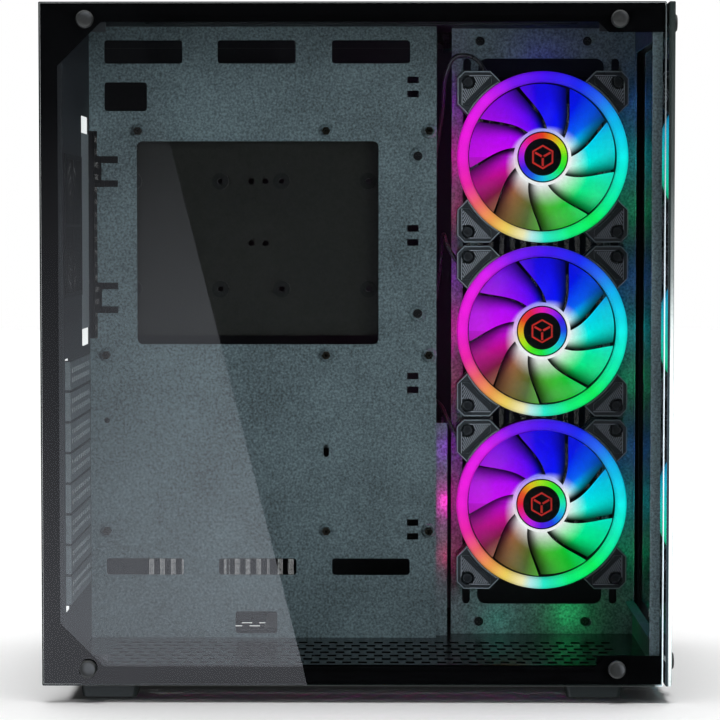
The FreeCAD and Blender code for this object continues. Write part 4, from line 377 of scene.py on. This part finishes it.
MATERIALS = {
    "powder_coat": coated("powder_coat", srgb(84, 97, 102), 0.5, 1.6, 0.16, 0.6, metal=0.2),
    "rear_coat": rear_wall("rear_coat"),
    "floor_coat": coated("floor_coat", srgb(5, 6, 7), 0.2, 1.0, 0.02, 0.2, metal=0.1),
    "slot_coat": coated("slot_coat", srgb(104, 112, 116), 0.42, 1.0, 0.06, 0.2, metal=0.4),
    "panel_black": coated("panel_black", srgb(30, 32, 35), 0.5, 1.0, 0.08, 0.2, metal=0.1),
    "dark_plate": coated("dark_plate", srgb(21, 21, 18), 0.5, 1.4, 0.1, 0.4),
    "side_pane": pane_glass("side_pane", "Y", (0.93, 0.95, 0.95, 1), SIDE_EDGE_GLOW),
    "front_pane": pane_glass("front_pane", "X", (0.86, 0.89, 0.90, 1), FRONT_EDGE_GLOW),
    "black_print": coated("black_print", srgb(4, 4, 5), 0.6, 0.5, 0.001, 0.1, shine=0.05),
    "knob_metal": coated("knob_metal", srgb(86, 88, 88), 0.34, 0.3, 0.002, 0.1, metal=0.9),
    "black_rubber": coated("black_rubber", srgb(22, 22, 23), 0.75, 0.6, 0.03, 0.15, sheen=0.15),
    "plated_steel": brushed("plated_steel", srgb(176, 176, 174), 0.3),
    "brass_standoff": brushed("brass_standoff", srgb(66, 62, 54), 0.4),
    "black_screw": coated("black_screw", srgb(52, 52, 54), 0.36, 0.3, 0.004, 0.15, metal=0.8),
    "foot_plastic": coated("foot_plastic", srgb(18, 24, 24), 0.5, 0.5, 0.02, 0.15),
    "filter_rim": coated("filter_rim", srgb(22, 22, 24), 0.55, 0.5, 0.02, 0.15),
    "filter_screen": woven("filter_screen", srgb(40, 40, 42), 1.1, "XY", 0.0, 0.3),
    # Painted shade: the side intake screen is near-black and almost closed. It is a dust filter that is also a dark
    # sheet keeping the vents behind the fans in shade.
    "intake_screen": woven("intake_screen", srgb(6, 6, 7), 0.9, "XZ", -0.92, -0.85),
    "supply_screen": woven("supply_screen", srgb(24, 24, 25), 0.9, "XZ", -0.5, -0.25),
    "wall_screen": woven("wall_screen", srgb(20, 20, 21), 0.9, "YZ", -0.85, -0.7),
    "controller_plastic": coated("controller_plastic", srgb(34, 35, 38), 0.45, 0.5, 0.02, 0.12),
    "lead_sleeve": coated("lead_sleeve", srgb(34, 34, 38), 0.3, 0.8, 0.03, 0.3, coat=0.4),
    "bezel_plastic": coated("bezel_plastic", srgb(24, 24, 27), 0.3, 0.4, 0.006, 0.1, coat=0.3),
    "button_plastic": coated("button_plastic", srgb(44, 44, 48), 0.28, 0.4, 0.004, 0.1, coat=0.4),
    "circuit_board": board_green("circuit_board"),
    "socket_metal": brushed("socket_metal", srgb(196, 196, 198), 0.2),
    "caddy_plastic": coated("caddy_plastic", srgb(32, 32, 35), 0.5, 0.6, 0.03, 0.12),
    "pad_rubber": coated("pad_rubber", srgb(22, 24, 28), 0.6, 0.4, 0.005, 0.1, sheen=0.1),
    # Painted highlight: the pads' ribs, screw eyes and rims and the ears' raised outlines are light grey. They
    # stand for light caught on ribs and edges that are of the same dark rubber and plastic as the pads and the
    # frame.
    "pad_ribs": coated("pad_ribs", srgb(142, 146, 156), 0.4, 0.5, 0.005, 0.3),
    "fan_edge": coated("fan_edge", srgb(112, 120, 128), 0.35, 0.4, 0.005, 0.15, coat=0.2),
    "motor_metal": brushed("motor_metal", srgb(120, 120, 122), 0.35),
    "fan_plastic": coated("fan_plastic", srgb(36, 40, 45), 0.42, 0.5, 0.01, 0.12),
    "cap_plastic": coated("cap_plastic", srgb(12, 12, 16), 0.2, 0.5, 0.002, 0.1, coat=0.5),
    "emblem_red": coated("emblem_red", srgb(226, 26, 14), 0.4, 0.3, 0.003, 0.08),
    "floor_white": coated("floor_white", srgb(250, 250, 250), 0.8, 4.0, 0.02, 0.008),
}


def paint(piece, material):
    piece.data.materials.clear()
    piece.data.materials.append(MATERIALS[material] if isinstance(material, str) else material)


def paint_nodes():
    """Every carried-over CAD node gets the finish that its record slot names."""
    for row in frame["record"]["subparts"]:
        slot = row["material_slot"]
        if slot in MATERIALS:
            paint(NODES[row["node"]], slot)
    paint(NODES["side_glass"], "side_pane")
    paint(NODES["front_glass"], "front_pane")
    for node in ("top_dust_filter", "bottom_dust_filter"):
        paint(NODES[node], "filter_rim")
    paint(NODES["rear_panel"], "rear_coat")
    paint(NODES["bottom_panel"], "floor_coat")
    paint(NODES["expansion_slot_covers"], "slot_coat")
    starts = ((0.78, -1.0), (0.12, 1.0), (0.97, -1.0))
    for k, centre in enumerate(FAN_CENTRES):
        tag = "fan_%d_" % (k + 1)
        face = Vector((centre.x, FAN_FACE, centre.z))
        paint(NODES[tag + "light_ring"], ring_light(tag + "ring_glow", face))
        paint(NODES[tag + "rotor"], blade_light(tag + "blade_glow", face))
        start, way = starts[k]
        paint(NODES[tag + "hub_light"], hub_light(tag + "hub_glow", face, start, way))


# ---- mesh pieces ----------------------------------------------------------------------------------------
def linked(name, data):
    thing = bpy.data.objects.new(name, data)
    bpy.context.scene.collection.objects.link(thing)
    return thing


def piece(name, mesh_maker, body, slot, material, replaces=(), smooth=0.6):
    """One piece from a function that fills a bmesh in the frame's coordinates."""
    made = bmesh.new()
    mesh_maker(made)
    bmesh.ops.recalc_face_normals(made, faces=made.faces)
    mesh = bpy.data.meshes.new(name)
    made.to_mesh(mesh)
    made.free()
    if smooth:
        mesh.shade_smooth()
        mesh.set_sharp_from_angle(angle=smooth)
    thing = linked(name, mesh)
    paint(thing, material)
    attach(thing, body)
    if replaces:
        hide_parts(*replaces)
    return thing


def slab(made, outline, low, high, lift):
    """Straight-sided block: a flat outline given a thickness; lift turns (a, b, height) into a point."""
    below = [made.verts.new(lift(a, b, low)) for a, b in outline]
    above = [made.verts.new(lift(a, b, high)) for a, b in outline]
    made.faces.new(below)
    made.faces.new(above)
    count = len(outline)
    for k in range(count):
        n = (k + 1) % count
        made.faces.new((below[k], below[n], above[n], above[k]))


def hub_emblem(centre):
    """A plain box drawn in three strokes inside a hexagon."""
    face = FAN_FACE + 1.5 * MM
    outer, inner, stroke = 8.6 * MM, 7.2 * MM, 0.75 * MM

    def lift(a, b, height):
        return Vector((centre.x + a, face - height, centre.z + b))

    def corner(radius, k):
        angle = math.radians(60 * k + 30)
        return radius * math.cos(angle), radius * math.sin(angle)

    def fill(made):
        for k in range(6):
            sides = [corner(outer, k), corner(outer, k + 1), corner(inner, k + 1), corner(inner, k)]
            slab(made, sides, 0.0, 0.12 * MM, lift)
        for k in (0, 2, 4):
            x, z = corner(1.0, k)
            end = inner - 0.9 * MM
            across = (-z * stroke, x * stroke)
            start = 0.8 * MM
            slab(made, [(x * start + across[0], z * start + across[1]), (x * end + across[0], z * end + across[1]),
                        (x * end - across[0], z * end - across[1]), (x * start - across[0], z * start - across[1])],
                 0.0, 0.12 * MM, lift)
    return fill


def corner_pads(centre, part):
    """Four soft corner pads of one fan, in two parts: the plates, or their diagonal ribs and raised edges."""
    half = FAN_R - 3.0 * MM
    leg, cut = 21.0 * MM, 5.0 * MM
    keep, pin = FAN_R + 2.5 * MM, FAN_R - 7.5 * MM
    hole = 4.4 * MM
    face = FAN_FACE

    def inside(a, b, margin):
        if a > half - margin or b > half - margin or a + b > 2 * half - cut - 1.4 * margin:
            return False
        if min(a, b) < half - leg + margin or math.hypot(a, b) < keep + margin:
            return False
        return math.hypot(a - pin, b - pin) > hole + 0.7 * margin

    def ribs(made, sx, sz):
        way = Vector((math.cos(math.radians(62)), math.sin(math.radians(62))))
        side = Vector((-way.y, way.x))
        step, pitch, wide = 0.25 * MM, 1.35 * MM, 0.36 * MM
        low = Vector((half - leg, half - leg))
        for row in range(-18, 34):
            run = []
            for k in range(-60, 170):
                spot = low + side * (row * pitch) + way * (k * step)
                if inside(spot.x, spot.y, 0.9 * MM):
                    run.append(spot)
                elif run:
                    rib(made, run, side * wide, sx, sz)
                    run = []

    def rib(made, run, off, sx, sz):
        if len(run) < 5:
            return
        a, b = run[0], run[-1]
        slope = 0.55

        def point(p, height):
            return Vector((centre.x + sx * p.x, face + 0.42 * MM - height, centre.z + sz * p.y))
        foot = [made.verts.new(point(p, 0.0)) for p in (a - off, b - off, b + off, a + off)]
        crown = [made.verts.new(point(p, 0.4 * MM)) for p in (a - off * slope, b - off * slope,
                                                              b + off * slope, a + off * slope)]
        made.faces.new(crown)
        for k in range(4):
            n = (k + 1) % 4
            made.faces.new((foot[k], foot[n], crown[n], crown[k]))

    def plate(made, sx, sz):
        """The pad's base, its edge raised to a rim all round."""
        rings = []
        for inset, height in ((0.0, -0.6), (0.0, 0.0)):
            outline = pad_outline(half, leg, cut, keep, inset * MM)
            rings.append([made.verts.new(Vector((centre.x + sx * a, face + (0.42 - height) * MM,
                                                 centre.z + sz * b))) for a, b in outline])
        count = len(rings[0])
        for first, second in zip(rings, rings[1:]):
            for k in range(count):
                n = (k + 1) % count
                made.faces.new((first[k], first[n], second[n], second[k]))
        made.faces.new(rings[0])
        made.faces.new(rings[-1])

    def collar(made, sx, sz):
        """Raised eye around the screw hole."""
        turn = [Vector((math.cos(t), math.sin(t))) for t in (2 * math.pi * k / 28 for k in range(28))]
        profile = ((hole - 0.05 * MM, -0.4), (hole - 0.05 * MM, 0.42), (hole - 1.0 * MM, 0.42),
                   (hole - 1.3 * MM, 0.1), (hole - 1.3 * MM, -0.4))
        rings = [[made.verts.new(Vector((centre.x + sx * (pin + r * t.x), face + (0.42 - h) * MM,
                                         centre.z + sz * (pin + r * t.y)))) for t in turn] for r, h in profile]
        for first, second in zip(rings, rings[1:] + rings[:1]):
            for k in range(28):
                n = (k + 1) % 28
                made.faces.new((first[k], first[n], second[n], second[k]))

    def ridge(made, outline, wide, height, sx, sz):
        """Raised bead of a given width just inside a closed outline."""
        section = ((0, -0.3), (0, 0.7), (0.25, 1), (0.75, 1), (1, 0.7), (1, -0.3))
        count = len(outline)
        rows = []
        for k in range(count):
            here = Vector(outline[k])
            way = (Vector(outline[(k + 1) % count]) - Vector(outline[k - 1])).normalized()
            inward = Vector((way.y, -way.x))
            rows.append([(here + inward * wide * share, h) for share, h in section])
        rings = [[made.verts.new(Vector((centre.x + sx * q.x, face + 0.42 * MM - h * height,
                                         centre.z + sz * q.y))) for q, h in row] for row in rows]
        for k in range(count):
            first, second = rings[k], rings[(k + 1) % count]
            for a in range(6):
                b = (a + 1) % 6
                made.faces.new((first[a], first[b], second[b], second[a]))

    def fill(made):
        for sx in (-1, 1):
            for sz in (-1, 1):
                if part == "plates":
                    plate(made, sx, sz)
                elif part == "ribs":
                    ribs(made, sx, sz)
                    collar(made, sx, sz)
                    ridge(made, pad_outline(half, leg, cut, keep, 0.0), 0.6 * MM, 0.42 * MM, sx, sz)
                else:
                    ridge(made, ear_outline(), 0.9 * MM, 0.62 * MM, sx, sz)
    return fill


def ear_outline():
    """Outline of a frame's corner ear, in the corner where both offsets are positive."""
    half, leg, cut = FAN_R, 23 * MM, 5 * MM
    end = half - leg
    radius = half + 0.4 * MM
    foot = 7.4 * MM
    low = math.atan2(end - foot, half - foot)
    high = math.pi / 2 - low
    arc = [(radius * math.cos(t), radius * math.sin(t)) for t in (low + (high - low) * k / 14 for k in range(15))]
    return [(end, half), (half - cut, half), (half, half - cut), (half, end)] + arc


def pad_outline(half, leg, cut, keep, inset):
    """Corner pad seen from the front: two straight legs, a cut corner and the ring's arc between them."""
    top = half - inset
    low = half - leg + inset
    bevel = cut + 0.6 * inset
    radius = keep + inset
    first = math.asin(min(1.0, low / radius))
    last = math.pi / 2 - first
    arc = [(radius * math.cos(t), radius * math.sin(t)) for t in
           (first + (last - first) * k / 12 for k in range(13))]
    corner = [(low, top), (top - bevel, top), (top, top - bevel), (top, low)]
    if arc[0][0] > top:
        arc = [(a, b) for a, b in arc if a <= top and b <= top]
    return corner + arc


def lathe(made, profile, origin, axis, sides, knurl=None):
    """Round body about an axis; knurl gives a share of the radius by index for the rings that it names."""
    turn = axis.to_track_quat("Z", "Y").to_matrix()
    rings = []
    for index, (along, radius) in enumerate(profile):
        ring = []
        for k in range(sides):
            r = radius * (knurl(index, k) if knurl else 1.0)
            angle = 2 * math.pi * k / sides
            ring.append(made.verts.new(origin + turn @ Vector((r * math.cos(angle), r * math.sin(angle), along))))
        rings.append(ring)
    for first, second in zip(rings, rings[1:]):
        for k in range(sides):
            n = (k + 1) % sides
            made.faces.new((first[k], first[n], second[n], second[k]))
    made.faces.new(rings[0])
    made.faces.new(rings[-1])


def glass_knobs(node, axis, spots):
    """Glass screws: a knurled head with a bright bevel and a dished face, and the shank through the pane."""
    low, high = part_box(node)
    radius = KNOB_R
    top = high.x - low.x if axis.x else high.y - low.y
    base = top - KNOB_HEAD
    profile = [(0.0, 1.5 * MM), (0.3 * MM, SHANK_R), (base, SHANK_R), (base, radius - 0.25 * MM),
               (base + 0.35 * MM, radius), (base + 0.9 * MM, radius), (base + 1.0 * MM, radius - 0.4 * MM),
               (base + 1.3 * MM, radius - 0.4 * MM), (base + 1.4 * MM, radius), (top - 0.75 * MM, radius),
               (top - 0.04 * MM, radius - 0.72 * MM), (top, radius - 0.95 * MM),
               (top - 0.22 * MM, radius - 1.5 * MM), (top - 0.3 * MM, 1.2 * MM), (top - 0.25 * MM, 0.3 * MM)]

    def knurl(index, k):
        return 0.975 if index in (5, 8, 9) and k % 4 > 1 else 1.0

    def fill(made):
        for spot in spots:
            lathe(made, profile, spot, axis, 96, knurl)
    return fill


def knob_spots():
    """Centres of the knobs' inner ends on the side and front panes."""
    side_low, side_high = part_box("side_glass_knobs")
    front_low, front_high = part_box("front_glass_knobs")
    r = KNOB_R
    side = [Vector((x, side_high.y, z)) for x in (side_low.x + r, side_high.x - r)
            for z in (side_low.z + r, side_high.z - r)]
    front = [Vector((front_low.x, y, z)) for y in (front_low.y + r, front_high.y - r)
             for z in (front_low.z + r, front_high.z - r)]
    return side, front


def screen(name, body, axes, low, high, face, thick, weave, rim=4.0, cells=(3, 8)):
    """Framed filter screen in a plane: a rim with cross ribs and a woven sheet. Axes give the plane's two."""
    first, second = axes
    normal = 3 - first - second

    def lift(a, b, height):
        spot = Vector((0, 0, 0))
        spot[first], spot[second], spot[normal] = a, b, face + height
        return spot

    def frame_bars(made):
        (a0, b0), (a1, b1) = low, high
        w = rim * MM
        slab(made, [(a0, b0), (a1, b0), (a1, b0 + w), (a0, b0 + w)], 0, thick, lift)
        slab(made, [(a0, b1 - w), (a1, b1 - w), (a1, b1), (a0, b1)], 0, thick, lift)
        slab(made, [(a0, b0 + w), (a0 + w, b0 + w), (a0 + w, b1 - w), (a0, b1 - w)], 0, thick, lift)
        slab(made, [(a1 - w, b0 + w), (a1, b0 + w), (a1, b1 - w), (a1 - w, b1 - w)], 0, thick, lift)
        bar = 0.8 * MM
        for k in range(1, cells[0]):
            a = a0 + (a1 - a0) * k / cells[0]
            slab(made, [(a - bar, b0 + w), (a + bar, b0 + w), (a + bar, b1 - w), (a - bar, b1 - w)],
                 0.2 * thick, 0.8 * thick, lift)
        for k in range(1, cells[1]):
            b = b0 + (b1 - b0) * k / cells[1]
            slab(made, [(a0 + w, b - bar), (a1 - w, b - bar), (a1 - w, b + bar), (a0 + w, b + bar)],
                 0.25 * thick, 0.75 * thick, lift)

    def sheet(made):
        (a0, b0), (a1, b1) = low, high
        w = 0.5 * rim * MM
        corners = [(a0 + w, b0 + w), (a1 - w, b0 + w), (a1 - w, b1 - w), (a0 + w, b1 - w)]
        made.faces.new([made.verts.new(lift(a, b, 0.5 * thick)) for a, b in corners])
    piece(name + "_frame", frame_bars, body, "filter_mesh", "filter_rim", smooth=0)
    piece(name + "_weave", sheet, body, "filter_mesh", weave, smooth=0)


def filter_ribs(node, name, body):
    """Cross ribs moulded on the top of a dust filter."""
    low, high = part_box(node)
    rim, rib, top = 10 * MM, 0.8 * MM, high.z

    def lift(a, b, height):
        return Vector((a, b, top - 0.35 * MM + height))

    def ribs(made):
        for k in range(1, 8):
            x = low.x + rim + (high.x - low.x - 2 * rim) * k / 8
            slab(made, [(x - rib, low.y + rim), (x + rib, low.y + rim), (x + rib, high.y - rim),
                        (x - rib, high.y - rim)], 0, 0.35 * MM, lift)
        for k in range(1, 3):
            y = low.y + rim + (high.y - low.y - 2 * rim) * k / 3
            slab(made, [(low.x + rim, y - rib), (high.x - rim, y - rib), (high.x - rim, y + rib),
                        (low.x + rim, y + rib)], 0, 0.3 * MM, lift)
    piece(name + "_ribs", ribs, body, "filter_mesh", "filter_rim", smooth=0)


# ---- pieces that Blender adds or stands in for --------------------------------------------------------------
def build_pieces():
    for k, centre in enumerate(FAN_CENTRES):
        tag = "fan_%d_" % (k + 1)
        piece(tag + "emblem", hub_emblem(centre), "rotor_%d" % (k + 1), "cap_plastic", "emblem_red", smooth=0)
        stands_for = ("fan_corner_pads",) if k == 0 else ()
        piece(tag + "pads", corner_pads(centre, "plates"), "chassis", "pad_rubber", "pad_rubber", stands_for)
        # The pad ribs and the ear outlines get light grey paint as a painted highlight.
        piece(tag + "pad_ribs", corner_pads(centre, "ribs"), "chassis", "pad_rubber", "pad_ribs")
        piece(tag + "ear_edges", corner_pads(centre, "edges"), "chassis", "fan_plastic", "fan_edge")
    side, front = knob_spots()
    piece("side_pane_knobs", glass_knobs("side_glass_knobs", Vector((0, -1, 0)), side), "side_knobs",
          "knob_metal", "knob_metal", ("side_glass_knobs",), smooth=0.5)
    piece("front_pane_knobs", glass_knobs("front_glass_knobs", Vector((1, 0, 0)), front), "front_knobs",
          "knob_metal", "knob_metal", ("front_glass_knobs",), smooth=0.5)
    filter_ribs("top_dust_filter", "roof_filter", "roof_filter")
    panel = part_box("right_side_panel")[1].y - 1.1 * MM
    first, last = FAN_CENTRES[0], FAN_CENTRES[-1]
    screen("side_intake_filter", "right_panel", (0, 2), (first.x - 58 * MM, last.z - 66 * MM),
           (first.x + 58 * MM, first.z + 66 * MM), panel - 1.1 * MM, 1.1 * MM, "intake_screen")
    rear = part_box("rear_panel")[1].x
    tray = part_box("motherboard_tray")[0]
    screen("supply_vent_filter", "right_panel", (0, 2), (rear + 27 * MM, tray.z + 14 * MM),
           (rear + 155 * MM, tray.z + 66 * MM), panel - 1.1 * MM, 1.1 * MM, "supply_screen", cells=(4, 1))
    screen("rear_vent_filter", "chassis", (1, 2), *REAR_VENT, rear + 0.1 * MM, 0.8 * MM,
           "wall_screen", rim=3.0, cells=(1, 5))
    screen("rear_grille_filter", "chassis", (1, 2), *REAR_GRILLE, rear + 0.1 * MM, 0.8 * MM,
           "wall_screen", rim=3.0, cells=(2, 2))


# ---- stage, light and camera ----------------------------------------------------------------------------------
def flat_panel(name, corners, material):
    mesh = bpy.data.meshes.new(name)
    mesh.from_pydata([tuple(c) for c in corners], [], [tuple(range(len(corners)))])
    thing = linked(name, mesh)
    thing.data.materials.append(material)
    return thing


def only_in_reflections(thing):
    """The side glass and glossy paint mirror it; nothing else sees it, and it lights nothing."""
    thing.visible_camera = False
    thing.visible_diffuse = False
    thing.visible_transmission = False
    thing.visible_volume_scatter = False
    thing.visible_shadow = False


def glow(name, colour_of):
    """Emission whose colour and strength come from a function of the shader."""
    s = Shader(name)
    colour, strength = colour_of(s)
    return s.close(s.add("Emission", {"Color": colour, "Strength": strength}).outputs[0])


def dome(name, radius, material):
    made = bmesh.new()
    bmesh.ops.create_uvsphere(made, u_segments=48, v_segments=32, radius=radius)
    mesh = bpy.data.meshes.new(name)
    made.to_mesh(mesh)
    made.free()
    thing = linked(name, mesh)
    thing.data.materials.append(material)
    only_in_reflections(thing)
    return thing


def sky():
    """Dim even world and a broad overhead sun, so that the ground under the case stays in shadow."""
    world = bpy.data.worlds.new("studio")
    world.use_nodes = True
    world.node_tree.nodes["Background"].inputs["Strength"].default_value = 0.2
    bpy.context.scene.world = world
    light = bpy.data.lights.new("overhead", "SUN")
    light.energy = 3.7
    light.angle = math.radians(44)
    thing = linked("overhead", light)
    thing.rotation_euler = (math.radians(-2), 0, 0)
    thing.visible_glossy = False


def studio():
    """White floor and backdrop, and the dim room and bright window that the glass mirrors."""
    sky()
    floor = flat_panel("floor", [(-6, -6, 0), (6, -6, 0), (6, 6, 0), (-6, 6, 0)], MATERIALS["floor_white"])
    floor.visible_glossy = False
    back = dome("backdrop", 6.5, glow("backdrop_white", lambda s: ((1, 1, 1, 1), 1.0)))
    back.visible_camera = True
    back.visible_glossy = False

    def shades(s):
        height = s.add("SeparateXYZ", {0: s.place()}).outputs["Z"]
        stops = [(0.0, grey(0.5)), (0.2, grey(0.3)), (0.34, grey(0.004)), (0.62, grey(0.006)), (0.76, grey(0.6)),
                 (1.0, grey(0.9))]
        return s.ramp(s.span(height, -4.0, 4.0), stops), 1.0
    dome("reflection_dome", 4.0, glow("dome_shades", shades))

    def card(s):
        height = s.add("SeparateXYZ", {0: s.place()}).outputs["Z"]
        level = s.ramp(s.span(height, -0.35, 0.7), [(0.0, grey(1.0)), (0.17, grey(0.94)), (0.41, grey(0.5)),
                                                     (0.77, grey(0.03)), (1.0, grey(0.0))])
        return srgb(240, 243, 255), s.math("MULTIPLY", level, CARD_LEVEL)
    edge_top, edge_low = Vector((-0.284, 0.513)), Vector((-0.083, -0.286))
    slope = (edge_top.x - edge_low.x) / (edge_top.y - edge_low.y)
    high, low = 1.2, -1.2
    y = CAMERA.y - 0.002
    corners = [(-2.0, y, low), (edge_low.x + (low - edge_low.y) * slope, y, low),
               (edge_top.x + (high - edge_top.y) * slope, y, high), (-2.0, y, high)]
    only_in_reflections(flat_panel("window_card", corners, glow("window_glow", card)))
    return floor


def soft_box(name, place, aim, size, power, colour=(1.0, 1.0, 1.0)):
    light = bpy.data.lights.new(name, "AREA")
    light.shape = "RECTANGLE"
    light.size, light.size_y = size
    light.energy = power
    light.color = colour
    thing = linked(name, light)
    thing.location = place
    thing.rotation_euler = (Vector(aim) - Vector(place)).to_track_quat("-Z", "Y").to_euler()
    thing.visible_glossy = False
    return thing


def fan_glow():
    """Small coloured lamps beside each fan that throw its light on the bracket and the post."""
    for k, centre in enumerate(FAN_CENTRES):
        spots = [(-65, 0, (255, 0, 170), 3.0), (-64, 38, (200, 0, 255), 0.8), (-64, -38, (255, 20, 110), 0.8),
                 (65, 0, (0, 240, 240), 0.8), (64, 36, (0, 130, 255), 0.5), (64, -36, (0, 255, 150), 0.6)]
        if k == 0:
            spots.append((0, 66, (70, 40, 255), 0.6))
        if k == FAN_COUNT - 1:
            spots += [(20, -82, (0, 255, 130), 1.2), (-30, -86, (0, 200, 160), 0.5)]
        for n, (x, z, colour, power) in enumerate(spots):
            lamp = bpy.data.lights.new("fan_%d_glow_%d" % (k + 1, n + 1), "POINT")
            lamp.energy = 0.02 * power
            lamp.shadow_soft_size = 4 * MM
            lamp.color = srgb(*colour)[:3]
            thing = linked(lamp.name, lamp)
            thing.location = (centre.x + x * MM, FAN_FACE + 9 * MM, centre.z + z * MM)
            thing.visible_glossy = False


def camera():
    data = bpy.data.cameras.new("camera")
    data.lens = LENS
    data.sensor_width = 36.0
    data.clip_start = 0.05
    thing = linked("camera", data)
    thing.location = CAMERA
    thing.rotation_euler = (AIM - CAMERA).to_track_quat("-Z", "Y").to_euler()
    bpy.context.scene.camera = thing


def lights(floor):
    """Soft boxes in front light the case through its glass and leave the floor to the sky."""
    skip = bpy.data.collections.new("not_lit_from_the_front")
    skip.objects.link(floor)
    skip.collection_objects[0].light_linking.link_state = "EXCLUDE"
    for lamp in (soft_box("key", (1.1, -2.3, 0.45), (0, 0, 0.2), (1.1, 1.1), 66.0),
                 soft_box("fill", (-0.5, -2.4, 0.1), (0, 0, 0.2), (1.2, 1.2), 16.0)):
        lamp.light_linking.receiver_collection = skip


paint_nodes()
build_pieces()
lights(studio())
fan_glow()
camera()
bpy.context.scene.view_settings.view_transform = "Standard"
